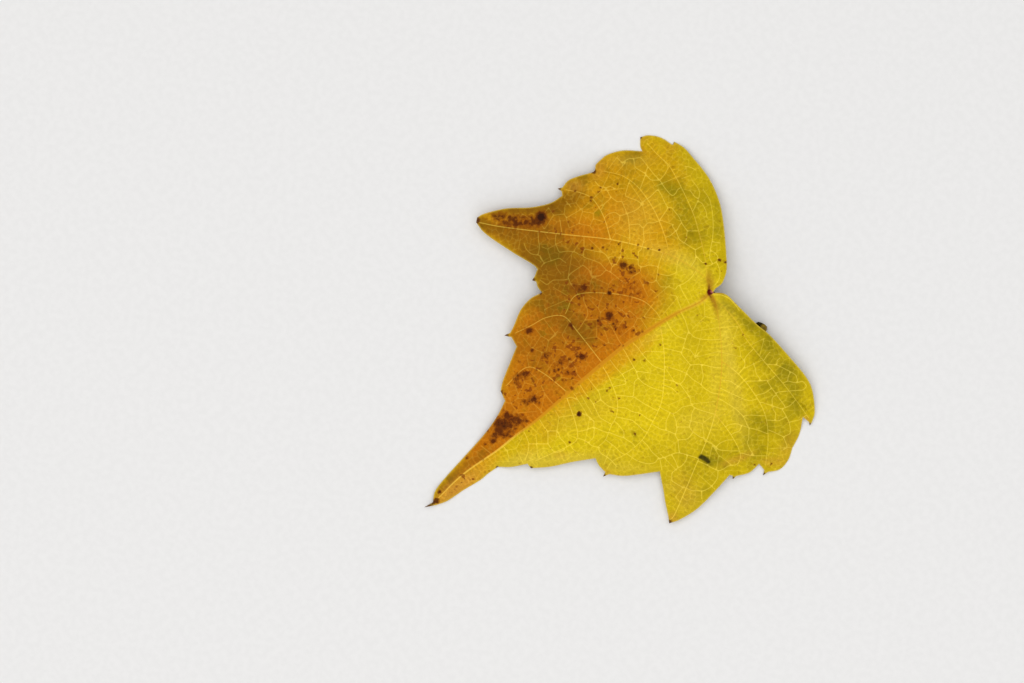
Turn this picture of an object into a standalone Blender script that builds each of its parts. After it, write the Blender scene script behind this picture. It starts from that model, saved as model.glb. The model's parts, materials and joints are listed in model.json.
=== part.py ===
"""A shed autumn leaf with three main lobes and a toothed edge, lying face up on a flat surface.

The leaf grew as one piece, so it is one solid: a thin waved blade, ribs raised on its underside,
and a short petiole that leaves the blade at the notch, dips under it and ends in a cut.
Lengths in this file are millimetres until the mesh is written, which is in metres.
The tracing below lies flat, with zero where the petiole joins the blade. It is turned so that
the midrib runs along +Y, and the finished leaf stands on z = 0 with its box centred on x = y = 0.
"""
import math

import bmesh
import bpy
import numpy as np
from mathutils import Vector
from mathutils.geometry import delaunay_2d_cdt

MM = 0.001

BLADE_THICKNESS = 0.6
MIDRIB_HEADING = math.radians(217.7)

EDGE_STEP = 1.7
RIB_STEP = 2.2
FIELD_STEP = 2.3
CLEAR_OF_EDGE = 0.8
CLEAR_OF_POINT = 0.9
CLEAR_OF_RIB = 0.28
WELD = 0.00001
NEARLY_ZERO = 1e-12

BULGE_HEIGHT = 0.45
BULGE_REACH = 3.2
GROOVE_DEPTH = 0.1
MARGIN_WAVE_HEIGHT = 0.35
MARGIN_WAVE_LENGTH = 17.0
MARGIN_WAVE_REACH = 5.0

PETIOLE_SIDES = 12
PETIOLE_STEP = 1.0

# Each run of the edge goes from one corner to the next, through its last point.
# A run of one point is a straight line, as at the bristle that ends a tooth.
EDGE_START = (0.2, -0.3)
EDGE_RUNS = [
    # inner basal lobe, round its outer side to its crown
    [(1.1, 0.9), (2.2, 1.7), (3.0, 2.8), (3.8, 5.4), (3.8, 9.2), (3.2, 16.5), (2.1, 22.6),
     (-0.5, 28.6), (-4.8, 34.1), (-6.8, 36.3), (-9.1, 37.7)],
    [(-9.5, 36.9)],
    [(-12.4, 38.7), (-15.5, 39.3), (-17.6, 38.8)],
    [(-17.6, 36.6), (-17.1, 35.3)],
    [(-21.9, 35.5), (-25.7, 34.5), (-27.6, 33.1), (-28.8, 31.9)],
    [(-29.0, 30.5), (-29.5, 30.0)],
    [(-33.4, 28.9), (-35.7, 27.9), (-37.1, 26.2)],
    [(-38.3, 25.9)],
    [(-37.3, 25.2)],
    [(-37.2, 24.1)],
    # side lobe, along its upper edge to its tip and back
    [(-40.1, 22.3), (-44.9, 21.2), (-51.3, 20.9), (-56.7, 19.6), (-58.5, 18.6)],
    [(-58.7, 17.4)],
    [(-56.4, 14.6), (-50.2, 10.3), (-44.6, 6.9), (-43.4, 5.7)],
    [(-44.1, 3.9)],
    [(-44.7, 2.9)],
    [(-43.7, 2.6)],
    [(-43.3, 1.2), (-42.3, -0.1)],
    # upper edge of the middle lobe, to its tip
    [(-45.2, -1.7), (-47.6, -4.5), (-49.2, -8.2), (-50.2, -10.2)],
    [(-51.6, -10.9)],
    [(-49.9, -11.3)],
    [(-48.6, -13.6)],
    [(-50.3, -17.8), (-52.1, -22.4), (-52.6, -24.8)],
    [(-51.5, -27.2)],
    [(-53.5, -31.1), (-56.6, -35.5), (-61.5, -41.0), (-66.4, -46.4), (-69.0, -49.9),
     (-69.5, -52.6)],
    [(-71.6, -53.9)],
    [(-68.6, -53.3)],
    # lower edge of the middle lobe
    [(-65.8, -52.2), (-62.2, -49.8), (-57.7, -47.1), (-55.9, -45.6), (-53.3, -43.8)],
    [(-50.0, -43.8), (-45.9, -43.0)],
    [(-45.0, -44.1)],
    [(-40.0, -43.7), (-34.5, -42.5), (-28.9, -41.6)],
    [(-28.0, -43.4), (-26.4, -45.1)],
    [(-26.9, -46.2)],
    [(-25.4, -45.6)],
    [(-21.2, -46.0), (-12.8, -44.9)],
    # lower side lobe
    [(-11.9, -49.4), (-11.4, -52.5), (-10.5, -56.7)],
    [(-10.4, -57.9)],
    [(-7.6, -56.9), (-3.3, -54.2), (1.0, -49.9), (4.7, -45.8)],
    [(5.5, -46.0)],
    [(5.6, -46.8)],
    [(6.3, -46.1)],
    [(9.7, -45.2), (12.2, -43.0)],
    [(13.5, -44.6)],
    [(13.1, -45.9)],
    [(14.3, -45.1)],
    # outer basal lobe, back to the notch
    [(17.4, -44.4), (19.5, -42.0), (20.5, -39.1)],
    [(22.3, -35.5), (23.1, -31.3)],
    [(24.7, -32.6)],
    [(24.9, -33.4)],
    [(25.4, -32.6)],
    [(26.1, -29.8), (25.4, -24.5), (23.7, -21.1), (19.7, -16.3), (14.8, -10.9), (11.5, -8.2),
     (7.3, -4.1), (5.2, -2.0), (4.2, -1.0), (2.8, -0.3), (1.2, -0.2)],
    [EDGE_START],
]

# A rib is its course, its half width at the start and at the end, and its height underneath
# at the start and at the end.
MAIN_RIBS = [
    # midrib
    ([(-0.4, -0.3), (-2.8, -2.5), (-8.8, -5.4), (-15.4, -9.4), (-22.1, -13.8), (-31.1, -21.2),
      (-42.9, -31.5), (-48.9, -36.0), (-53.1, -39.4), (-57.0, -42.1), (-60.5, -44.5),
      (-64.0, -47.4), (-66.8, -50.2), (-69.3, -52.7)],
     0.75, 0.3, 0.9, 0.15),
    # rib of the upper side lobe
    ([(-0.3, 0.0), (-0.9, 2.5), (-3.4, 5.1), (-9.2, 8.6), (-15.5, 10.8), (-25.1, 13.1),
      (-36.6, 14.4), (-51.6, 16.2), (-58.0, 17.4)],
     0.65, 0.3, 0.75, 0.15),
    # rib of the lower side lobe
    ([(0.0, -0.4), (1.3, -4.3), (2.2, -10.3), (2.6, -17.3), (2.1, -24.3), (0.1, -33.8),
      (-4.3, -44.7), (-8.8, -55.2), (-10.2, -57.0)],
     0.65, 0.3, 0.75, 0.15),
]
SIDE_RIBS = [
    # upper basal lobe
    ([(-10.3, 9.2), (-11.7, 14.3), (-14.2, 20.4), (-17.8, 25.8), (-21.9, 29.0), (-26.8, 30.3)],
     0.5, 0.3, 0.5, 0.15),
    ([(-1.0, 2.7), (-1.6, 8.5), (-3.1, 15.0), (-4.6, 20.0), (-7.8, 27.0), (-10.5, 31.8),
      (-13.0, 34.2), (-16.0, 37.4)],
     0.5, 0.3, 0.5, 0.15),
    ([(-25.1, 13.1), (-26.9, 19.0), (-29.5, 23.2), (-32.5, 24.8), (-36.2, 25.6)],
     0.45, 0.3, 0.4, 0.15),
    # upper half of the middle lobe
    ([(-12.1, -7.4), (-14.2, -4.6), (-17.8, -1.9), (-25.0, -0.4), (-33.5, -0.7), (-36.4, -5.4)],
     0.45, 0.3, 0.4, 0.15),
    ([(-27.0, -17.8), (-33.2, -10.1), (-36.8, -6.1), (-41.2, -6.4), (-45.0, -8.4),
      (-49.0, -10.3)],
     0.45, 0.3, 0.4, 0.15),
    ([(-35.6, -25.2), (-41.9, -20.3), (-46.2, -18.9), (-51.2, -23.4)],
     0.45, 0.3, 0.35, 0.15),
    # lower half of the middle lobe
    ([(-12.3, -8.6), (-12.1, -12.5), (-11.7, -18.0), (-12.3, -27.0), (-15.0, -33.3),
      (-17.2, -37.0), (-20.9, -40.3), (-24.6, -42.3), (-26.0, -44.3)],
     0.5, 0.3, 0.45, 0.15),
    ([(-27.0, -18.5), (-25.4, -21.6), (-23.5, -26.8), (-23.6, -30.8), (-24.9, -33.4),
      (-26.4, -37.0), (-28.2, -38.7)],
     0.45, 0.3, 0.4, 0.15),
    ([(-36.2, -26.0), (-34.0, -32.3), (-33.4, -36.5), (-35.6, -38.5), (-40.0, -40.5),
      (-43.8, -42.2)],
     0.45, 0.3, 0.35, 0.15),
    # lower side lobe and outer basal lobe
    ([(1.0, -30.4), (4.9, -35.5), (7.4, -40.5), (6.6, -43.6)],
     0.45, 0.3, 0.35, 0.15),
    ([(2.6, -17.3), (6.9, -20.6), (10.8, -25.4), (13.6, -30.7), (14.4, -36.6), (13.8, -43.4)],
     0.5, 0.3, 0.45, 0.15),
    ([(0.6, -0.9), (3.0, -3.8), (6.3, -7.5), (8.9, -12.0), (13.3, -17.4), (18.0, -22.8),
      (21.6, -27.4), (24.6, -31.6)],
     0.5, 0.3, 0.5, 0.15),
]

# Heights of the blade's middle above the surface: the blade is held up at its base by the
# petiole, arches down along its lobes and touches at three low places.
CONTACT = -0.5
BLADE_HEIGHTS = [
    ((0.0, 0.0), 8.2),
    ((-8.8, -5.4), 7.4), ((-22.1, -13.8), 5.6), ((-36.0, -26.0), 3.4), ((-50.0, -37.5), 1.0),
    ((-63.5, -47.5), CONTACT), ((-69.5, -52.8), 1.1),
    ((-9.2, 8.6), 7.2), ((-25.1, 13.1), 5.0), ((-42.0, 15.0), 3.4), ((-58.0, 17.5), 3.2),
    ((-43.0, 3.0), 3.6), ((-50.0, -10.5), 3.3), ((-52.0, -24.0), 2.6), ((-30.0, 2.0), 4.6),
    ((2.4, -12.0), 7.2), ((2.1, -24.3), 5.4), ((-3.0, -41.0), 3.1), ((-10.0, -57.0), 1.6),
    ((-13.0, -44.0), 2.2), ((-28.0, -41.0), 2.4), ((-46.0, -42.5), 1.6),
    ((3.8, 8.0), 5.8), ((2.2, 22.0), 3.2), ((-5.5, 34.5), 0.8), ((-15.0, 35.6), CONTACT),
    ((-28.0, 31.0), 1.7), ((-37.0, 25.5), 2.8), ((-12.0, 22.0), 3.6),
    ((12.0, -9.0), 5.4), ((22.0, -19.5), 3.2), ((25.5, -30.0), 1.3), ((20.2, -37.5), CONTACT),
    ((13.0, -42.5), 0.9), ((12.0, -26.0), 3.6),
]

# Course of the petiole as (x, y, height) with its radius: from the knob where the ribs meet,
# down and along under the blade, and out past its edge with a flared foot. The foot turns up a
# little, so its flat cut end looks outwards and up.
PETIOLE_COURSE = [
    ((-0.45, 0.0, 8.45), 0.65), ((-0.2, -0.2, 7.5), 0.85), ((0.9, -1.4, 5.5), 0.85),
    ((3.0, -4.2, 3.3), 0.78), ((5.6, -7.2, 2.0), 0.74), ((8.4, -9.0, 1.5), 0.72),
    ((10.3, -9.1, 1.45), 0.72), ((11.2, -8.75, 1.45), 0.76), ((11.8, -8.6, 1.5), 1.2),
    ((12.4, -8.9, 1.7), 1.34), ((13.0, -9.3, 2.05), 1.34), ((13.3, -9.5, 2.3), 1.2),
]
KNOB_CAP = 0.3
KNOB_SHOULDER_RISE = 0.2
KNOB_SHOULDER_SHARE = 0.55

BLADE_COLOUR = (0.62, 0.42, 0.02, 1.0)
BLADE_ROUGHNESS = 0.55


def catmull_rom(points, step):
    """Samples a smooth curve through the points, about one sample each step, ends included."""
    ends_doubled = [2 * points[0] - points[1]] + list(points) + [2 * points[-1] - points[-2]]
    samples = [points[0]]
    for before, start, end, after in zip(ends_doubled, ends_doubled[1:],
                                         ends_doubled[2:], ends_doubled[3:]):
        count = max(1, round(float(np.linalg.norm(end - start)) / step))
        for index in range(1, count + 1):
            t = index / count
            samples.append(0.5 * (2 * start + (end - before) * t
                                  + (2 * before - 5 * start + 4 * end - after) * t ** 2
                                  + (3 * start - before - 3 * end + after) * t ** 3))
    return samples


def edge_loop(step):
    """The closed edge of the blade, corners kept sharp and the runs between them smooth."""
    loop = []
    corner = np.array(EDGE_START)
    for run in EDGE_RUNS:
        knots = [corner] + [np.array(point) for point in run]
        loop += catmull_rom(knots, step)[:-1]
        corner = knots[-1]
    return np.array(loop)


def nearest_on_courses(points, courses):
    """Distance from each point to the nearest course, and the share of that course passed."""
    best = np.full(len(points), np.inf)
    passed = np.zeros(len(points))
    for course in courses:
        steps = np.linalg.norm(np.diff(course, axis=0), axis=1)
        travelled = np.concatenate([[0.0], np.cumsum(steps)])
        for index in range(len(course) - 1):
            start = course[index]
            along = course[index + 1] - start
            share = np.clip((points - start) @ along / (along @ along), 0.0, 1.0)
            gap = np.linalg.norm(points - start - share[:, None] * along, axis=1)
            closer = gap < best
            best[closer] = gap[closer]
            passed[closer] = (travelled[index] + share[closer] * steps[index]) / travelled[-1]
    return best, passed


def closed(loop):
    """The loop with its first point once more at its end."""
    return np.vstack([loop, loop[:1]])


def rib_courses(step):
    """Smooth courses of all ribs; a side rib starts on a point of the rib that it leaves."""
    courses = [np.array(catmull_rom([np.array(p) for p in rib[0]], step)) for rib in MAIN_RIBS]
    parents = np.vstack(courses)
    for rib in SIDE_RIBS:
        knots = [np.array(p) for p in rib[0]]
        knots[0] = parents[np.argmin(np.linalg.norm(parents - knots[0], axis=1))]
        courses.append(np.array(catmull_rom(knots, step)))
    return courses


def inside_loop(points, loop):
    """True for each point that lies within the closed loop."""
    following = np.roll(loop, -1, axis=0)
    inside = np.zeros(len(points), bool)
    for start, end in zip(loop, following):
        spans = (start[1] > points[:, 1]) != (end[1] > points[:, 1])
        rise = end[1] - start[1]
        if abs(rise) > 0.0:
            crossing = start[0] + (points[:, 1] - start[1]) * (end[0] - start[0]) / rise
            inside ^= spans & (points[:, 0] < crossing)
    return inside


def spline_weights(knots, values):
    """Weights of the thin plate that passes through the given heights."""
    count = len(knots)
    system = np.zeros((count + 3, count + 3))
    system[:count, :count] = plate_bend(knots, knots)
    flat = np.column_stack([np.ones(count), knots])
    system[:count, count:] = flat
    system[count:, :count] = flat.T
    return np.linalg.solve(system, np.concatenate([values, np.zeros(3)]))


def plate_bend(points, knots):
    """The thin plate's bending term between each point and each knot."""
    squares = ((points[:, None, :] - knots[None, :, :]) ** 2).sum(axis=2)
    return 0.5 * squares * np.log(squares + NEARLY_ZERO)


def blade_middle(points, loop, courses):
    """Height of the middle of the blade at each point."""
    knots = np.array([place for place, height in BLADE_HEIGHTS])
    heights = np.array([height for place, height in BLADE_HEIGHTS])
    weights = spline_weights(knots, heights)
    plate = plate_bend(points, knots) @ weights[:-3] + weights[-3] + points @ weights[-2:]
    to_rib = nearest_on_courses(points, courses)[0]
    to_edge, round_edge = nearest_on_courses(points, [closed(loop)])
    edge_length = float(np.linalg.norm(np.diff(closed(loop), axis=0), axis=1).sum())
    bulge = BULGE_HEIGHT * (1.0 - np.exp(-(to_rib / BULGE_REACH) ** 2))
    wave = np.sin(math.tau * round_edge * round(edge_length / MARGIN_WAVE_LENGTH))
    wave *= MARGIN_WAVE_HEIGHT * np.exp(-(to_edge / MARGIN_WAVE_REACH) ** 2)
    return np.maximum(plate + bulge + wave, BLADE_THICKNESS / 2)


def rib_height(points, courses):
    """How far the ribs stand out of the underside at each point."""
    ribs = MAIN_RIBS + SIDE_RIBS
    height = np.zeros(len(points))
    for course, (_, wide, narrow, tall, low) in zip(courses, ribs):
        gap, passed = nearest_on_courses(points, [course])
        half_width = wide + (narrow - wide) * passed
        crest = tall + (low - tall) * passed
        height = np.maximum(height, crest * np.clip(1.0 - gap / half_width, 0.0, 1.0))
    return height


def rib_flanks(courses):
    """Points along both feet of every rib, so that the mesh follows its sides."""
    flanks = []
    for course, rib in zip(courses, MAIN_RIBS + SIDE_RIBS):
        along = np.gradient(course, axis=0)
        along /= np.linalg.norm(along, axis=1)[:, None]
        across = np.column_stack([-along[:, 1], along[:, 0]])
        widths = np.linspace(rib[1], rib[2], len(course))[:, None]
        flanks += [course + across * widths, course - across * widths]
    return np.vstack(flanks)


def honeycomb(low, high, step):
    """Points of an even triangular field over the box between low and high."""
    row_step = step * math.sqrt(3.0) / 2.0
    rows = []
    for number, y in enumerate(np.arange(low[1], high[1], row_step)):
        x = np.arange(low[0] + 0.5 * step * (number % 2), high[0], step)
        rows.append(np.column_stack([x, np.full(len(x), y)]))
    return np.vstack(rows)


def thinned(candidates, kept, spacing):
    """The candidates that keep the spacing to the kept points and to each other."""
    taken = [np.array(point) for point in kept]
    chosen = []
    for point in candidates:
        if np.linalg.norm(np.array(taken) - point, axis=1).min() >= spacing:
            taken.append(point)
            chosen.append(point)
    return np.array(chosen)


def well_inside(points, loop):
    """The points that lie inside the edge and clear of it."""
    to_edge = nearest_on_courses(points, [closed(loop)])[0]
    return points[inside_loop(points, loop) & (to_edge > CLEAR_OF_EDGE)]


def flat_mesh(loop, courses):
    """Splits the flat blade into triangles along its edge and its ribs."""
    points = [Vector(p) for p in loop]
    outline = list(range(len(points)))
    rib_edges = []
    known = {}
    for course in courses:
        indices = []
        for place in course:
            key = (round(place[0], 4), round(place[1], 4))
            if key not in known:
                known[key] = len(points)
                points.append(Vector(place))
            indices.append(known[key])
        rib_edges += list(zip(indices, indices[1:]))
    fixed = np.array(points)
    flanks = well_inside(rib_flanks(courses), loop)
    flanks = flanks[nearest_on_courses(flanks, courses)[0] > CLEAR_OF_RIB]
    flanks = thinned(flanks, fixed, CLEAR_OF_RIB)
    field = well_inside(honeycomb(loop.min(axis=0), loop.max(axis=0), FIELD_STEP), loop)
    field = thinned(field, np.vstack([fixed, flanks]), CLEAR_OF_POINT)
    points += [Vector(p) for p in flanks] + [Vector(p) for p in field]
    verts, _, faces, _, _, _ = delaunay_2d_cdt(points, rib_edges, [outline], 1, WELD)
    return np.array(verts), faces


def new_material():
    """The dry yellow skin of the leaf."""
    material = bpy.data.materials.new("leaf_skin")
    material.use_nodes = True
    shader = material.node_tree.nodes["Principled BSDF"]
    shader.inputs["Base Color"].default_value = BLADE_COLOUR
    shader.inputs["Roughness"].default_value = BLADE_ROUGHNESS
    shader.inputs["Metallic"].default_value = 0.0
    return material


def turned(points):
    """Turns flat points of the tracing so that the midrib runs along +Y."""
    angle = math.pi / 2 - MIDRIB_HEADING
    spin = np.array([[math.cos(angle), -math.sin(angle)], [math.sin(angle), math.cos(angle)]])
    return points @ spin.T


def make_object(name, places, faces):
    """A mesh object from places in millimetres, with its faces made to point outwards."""
    mesh = bpy.data.meshes.new(name)
    mesh.from_pydata([Vector(p) * MM for p in places], [], faces)
    body = bmesh.new()
    body.from_mesh(mesh)
    bmesh.ops.recalc_face_normals(body, faces=body.faces)
    body.to_mesh(mesh)
    body.free()
    thing = bpy.data.objects.new(name, mesh)
    bpy.context.scene.collection.objects.link(thing)
    return thing


def make_blade():
    """The blade with its ribs, one closed body whose two faces have the same triangles."""
    loop = edge_loop(EDGE_STEP)
    courses = rib_courses(RIB_STEP)
    flat, faces = flat_mesh(loop, courses)
    middle = blade_middle(flat, loop, courses)
    ribs = rib_height(flat, courses)
    under = np.maximum(middle - BLADE_THICKNESS / 2 - ribs, 0.0)
    top = middle + BLADE_THICKNESS / 2 - GROOVE_DEPTH * ribs
    top = np.maximum(top, under + BLADE_THICKNESS)
    placed = turned(flat)
    places = [(x, y, z) for (x, y), z in zip(placed, top)]
    places += [(x, y, z) for (x, y), z in zip(placed, under)]
    count = len(flat)
    sides = [pair for face in faces for pair in zip(face, face[1:] + face[:1])]
    inner = set(sides)
    walls = []
    for start, end in sides:
        if (end, start) not in inner:
            walls.append((start, start + count, end + count))
            walls.append((start, end + count, end))
    solid = [tuple(face) for face in faces]
    solid += [tuple(index + count for index in reversed(face)) for face in faces]
    return make_object("leaf", places, solid + walls)


def make_petiole():
    """The petiole as a tapering round body along its course, with a rounded knob on top."""
    knots = [np.array(place + (radius,)) for place, radius in PETIOLE_COURSE]
    line = np.array(catmull_rom(knots, PETIOLE_STEP))
    centres = np.column_stack([turned(line[:, :2]), line[:, 2]])
    along = np.gradient(centres, axis=0)
    along /= np.linalg.norm(along, axis=1)[:, None]
    shoulder = centres[0] - along[0] * KNOB_SHOULDER_RISE
    places = [centres[0] - along[0] * KNOB_CAP]
    rings = [(shoulder, along[0], line[0, 3] * KNOB_SHOULDER_SHARE)]
    rings += list(zip(centres, along, line[:, 3]))
    for centre, heading, radius in rings:
        side = np.cross(heading, (0.0, 1.0, 0.0))
        side /= np.linalg.norm(side)
        other = np.cross(heading, side)
        for corner in range(PETIOLE_SIDES):
            angle = math.tau * corner / PETIOLE_SIDES
            places.append(centre + radius * (math.cos(angle) * side + math.sin(angle) * other))
    faces = []
    for corner in range(PETIOLE_SIDES):
        following = (corner + 1) % PETIOLE_SIDES
        faces.append((0, 1 + following, 1 + corner))
        for ring in range(len(rings) - 1):
            near = 1 + ring * PETIOLE_SIDES
            far = near + PETIOLE_SIDES
            faces.append((near + corner, near + following, far + following, far + corner))
    last = 1 + (len(rings) - 1) * PETIOLE_SIDES
    faces.append(tuple(last + corner for corner in range(PETIOLE_SIDES)))
    return make_object("petiole", places, faces)


def join_into(blade, petiole):
    """Makes the petiole one body with the blade."""
    union = blade.modifiers.new("join petiole", "BOOLEAN")
    union.operation = "UNION"
    union.solver = "EXACT"
    union.object = petiole
    evaluated = blade.evaluated_get(bpy.context.evaluated_depsgraph_get())
    joined = bpy.data.meshes.new_from_object(evaluated)
    blade.modifiers.clear()
    blade.data = joined
    bpy.data.objects.remove(petiole, do_unlink=True)


def set_on_surface(leaf):
    """Moves the leaf so that it stands on z = 0 with its box centred on the origin."""
    corners = np.array([vertex.co for vertex in leaf.data.vertices])
    middle = (corners.min(axis=0) + corners.max(axis=0)) / 2
    shift = Vector((-middle[0], -middle[1], -corners[:, 2].min()))
    for vertex in leaf.data.vertices:
        vertex.co += shift


def main():
    for thing in list(bpy.data.objects):
        bpy.data.objects.remove(thing, do_unlink=True)
    leaf = make_blade()
    join_into(leaf, make_petiole())
    set_on_surface(leaf)
    leaf.data.materials.clear()
    leaf.data.materials.append(new_material())
    leaf.data.shade_smooth()


main()
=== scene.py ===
import json
import math

import bpy
import numpy as np
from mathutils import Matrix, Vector
from mathutils.geometry import delaunay_2d_cdt
from mathutils.kdtree import KDTree

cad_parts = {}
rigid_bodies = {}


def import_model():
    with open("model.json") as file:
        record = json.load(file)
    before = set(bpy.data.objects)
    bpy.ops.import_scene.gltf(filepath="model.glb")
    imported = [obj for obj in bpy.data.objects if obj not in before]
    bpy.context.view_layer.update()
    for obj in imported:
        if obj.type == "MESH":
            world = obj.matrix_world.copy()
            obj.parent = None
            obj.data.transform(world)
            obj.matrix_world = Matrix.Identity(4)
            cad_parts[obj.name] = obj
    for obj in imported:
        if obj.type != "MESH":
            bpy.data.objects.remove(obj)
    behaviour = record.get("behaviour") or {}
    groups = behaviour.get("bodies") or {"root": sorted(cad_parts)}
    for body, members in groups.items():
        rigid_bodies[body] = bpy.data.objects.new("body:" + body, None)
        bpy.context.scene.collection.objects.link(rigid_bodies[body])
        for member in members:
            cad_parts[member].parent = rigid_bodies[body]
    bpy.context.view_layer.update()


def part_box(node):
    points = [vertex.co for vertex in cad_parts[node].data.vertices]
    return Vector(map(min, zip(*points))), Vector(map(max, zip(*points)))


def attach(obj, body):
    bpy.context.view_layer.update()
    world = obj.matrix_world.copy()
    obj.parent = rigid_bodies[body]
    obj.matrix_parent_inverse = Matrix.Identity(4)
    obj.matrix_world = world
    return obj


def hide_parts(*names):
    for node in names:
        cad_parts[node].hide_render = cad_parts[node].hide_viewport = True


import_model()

MM = 0.001
MIDRIB_HEADING = math.radians(217.7)
SHEET_STEP = 0.25
# Where the petiole joins the blade, in steps from the corner of the traced sheet.
JOINT_ON_SHEET = np.array([711.0, 292.0])

# Thickness of the blade in the solid and here, and how it thins towards the edge.
SOLID_THICKNESS = 0.6
SOLID_EDGE_STEP = 1.7
SKIN_THICKNESS = 0.32
MARGIN_THINNING = 0.4
MARGIN_REACH = 1.3
FLOOR_CLEARANCE = 0.01
THINNEST = 0.12
BLADE_SMOOTHING = math.radians(50)

# Relief of the skin: soft pillows between the veins above, cords of vein below.
PILLOW_HEIGHT = 0.1
PILLOW_REACH = 0.7
DIMPLE_HEIGHT = 0.025
DIMPLE_REACH = 0.35
GROOVE_DEPTH = 0.1
GROOVE_REACH = 0.35
CORD_HEIGHT = 0.1
CORD_REACH = 0.3
THREAD_HEIGHT = 0.04
THREAD_REACH = 0.25
RIB_SHOULDER = 0.2
PILLOW_BELOW = 0.5

# Steps between points, and how clear of the lines the points of the open field stay.
EDGE_STEP = 0.34
RIB_STEP = 0.36
VEIN_STEP = 0.42
FIELD_STEP = 0.405
CLEAR_OF_LINE = 0.24
WELD = 0.00001
NEARLY_ZERO = 1e-12

# The net of finest veins: its coarse and its fine cells; then, as shares of a cell, how far
# its seeds stray, how clear of a vein they stay and how long a link may be.
NET_CELLS = (3.4, 1.45)
NET_SEED = 11
SEED_STRAY = 0.25
SEED_CLEARANCE = 0.22
LONGEST_LINK = 2.2
SHORTEST_LINK = 0.12

# How the end of a traced vein meets another vein.
JOIN_REACH = 2.6
TOUCH_REACH = 0.5
SAME_PLACE = 0.05
STRAIGHT_AHEAD = 0.5

# How far away the ribs, veins, net and edge still count for a point.
RIB_REACH = 2.0
LINE_REACH = 1.5
VEIN_REACH = 1.5
NET_REACH = 1.0
EDGE_REACH = 4.0
STROKE_REACH = 4.0
SEED_REACH = 2.0
PATCH_REACH = 1.0

# The bulge between the ribs and the wave along the edge, as in the solid.
BULGE_HEIGHT = 0.45
BULGE_REACH = 3.2
MARGIN_WAVE_HEIGHT = 0.35
MARGIN_WAVE_LENGTH = 17.0
MARGIN_WAVE_REACH = 5.0

# The edge as runs from corner to corner, each smooth in itself, once round from the joint.
EDGE_START = (0.2, -0.3)
EDGE_RUNS = [
    # inner basal lobe, round its outer side to its crown
    [(1.1, 0.9), (2.2, 1.7), (3.0, 2.8), (3.8, 5.4), (3.8, 9.2), (3.2, 16.5), (2.1, 22.6),
     (-0.5, 28.6), (-4.8, 34.1), (-6.8, 36.3), (-9.1, 37.7)],
    [(-9.5, 36.9)],
    [(-12.4, 38.7), (-15.5, 39.3), (-17.6, 38.8)],
    [(-17.6, 36.6), (-17.1, 35.3)],
    [(-21.9, 35.5), (-25.7, 34.5), (-27.6, 33.1), (-28.8, 31.9)],
    [(-29.0, 30.5), (-29.5, 30.0)],
    [(-33.4, 28.9), (-35.7, 27.9), (-37.1, 26.2)],
    [(-38.3, 25.9)],
    [(-37.3, 25.2)],
    [(-37.2, 24.1)],
    # side lobe, along its upper edge to its tip and back
    [(-40.1, 22.3), (-44.9, 21.2), (-51.3, 20.9), (-56.7, 19.6), (-58.5, 18.6)],
    [(-58.7, 17.4)],
    [(-56.4, 14.6), (-50.2, 10.3), (-44.6, 6.9), (-43.4, 5.7)],
    [(-44.1, 3.9)],
    [(-44.7, 2.9)],
    [(-43.7, 2.6)],
    [(-43.3, 1.2), (-42.3, -0.1)],
    # upper edge of the middle lobe, to its tip
    [(-45.2, -1.7), (-47.6, -4.5), (-49.2, -8.2), (-50.2, -10.2)],
    [(-51.6, -10.9)],
    [(-49.9, -11.3)],
    [(-48.6, -13.6)],
    [(-50.3, -17.8), (-52.1, -22.4), (-52.6, -24.8)],
    [(-51.5, -27.2)],
    [(-53.5, -31.1), (-56.6, -35.5), (-61.5, -41.0), (-66.4, -46.4), (-69.0, -49.9),
     (-69.5, -52.6)],
    [(-71.6, -53.9)],
    [(-68.6, -53.3)],
    # lower edge of the middle lobe
    [(-65.8, -52.2), (-62.2, -49.8), (-57.7, -47.1), (-55.9, -45.6), (-53.3, -43.8)],
    [(-50.0, -43.8), (-45.9, -43.0)],
    [(-45.0, -44.1)],
    [(-40.0, -43.7), (-34.5, -42.5), (-28.9, -41.6)],
    [(-28.0, -43.4), (-26.4, -45.1)],
    [(-26.9, -46.2)],
    [(-25.4, -45.6)],
    [(-21.2, -46.0), (-12.8, -44.9)],
    # lower side lobe
    [(-11.9, -49.4), (-11.4, -52.5), (-10.5, -56.7)],
    [(-10.4, -57.9)],
    [(-7.6, -56.9), (-3.3, -54.2), (1.0, -49.9), (4.7, -45.8)],
    [(5.5, -46.0)],
    [(5.6, -46.8)],
    [(6.3, -46.1)],
    [(9.7, -45.2), (12.2, -43.0)],
    [(13.5, -44.6)],
    [(13.1, -45.9)],
    [(14.3, -45.1)],
    # outer basal lobe, back to the notch
    [(17.4, -44.4), (19.5, -42.0), (20.5, -39.1)],
    [(22.3, -35.5), (23.1, -31.3)],
    [(24.7, -32.6)],
    [(24.9, -33.4)],
    [(25.4, -32.6)],
    [(26.1, -29.8), (25.4, -24.5), (23.7, -21.1), (19.7, -16.3), (14.8, -10.9), (11.5, -8.2),
     (7.3, -4.1), (5.2, -2.0), (4.2, -1.0), (2.8, -0.3), (1.2, -0.2)],
    [EDGE_START],
]

# Tips of the teeth and lobes that end in a dark bristle, with the reach of the dark.
BRISTLES = [
    (-17.6, 38.8, 0.7), (-9.5, 37.4, 0.6), (-29.3, 30.2, 1.0), (-38.3, 25.9, 1.3),
    (-58.7, 18.0, 1.5), (-44.7, 2.9, 1.2), (-51.6, -10.9, 1.6), (-52.6, -25.2, 0.9),
    (-71.0, -53.7, 1.9), (-69.4, -52.7, 0.9), (-45.0, -44.1, 0.8), (-26.9, -46.2, 1.3),
    (-10.4, -57.9, 1.3), (5.6, -46.8, 1.0), (13.1, -45.9, 1.3), (24.9, -33.4, 1.0),
    (-53.4, -43.9, 0.6), (-42.6, -0.2, 0.7),
]

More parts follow.
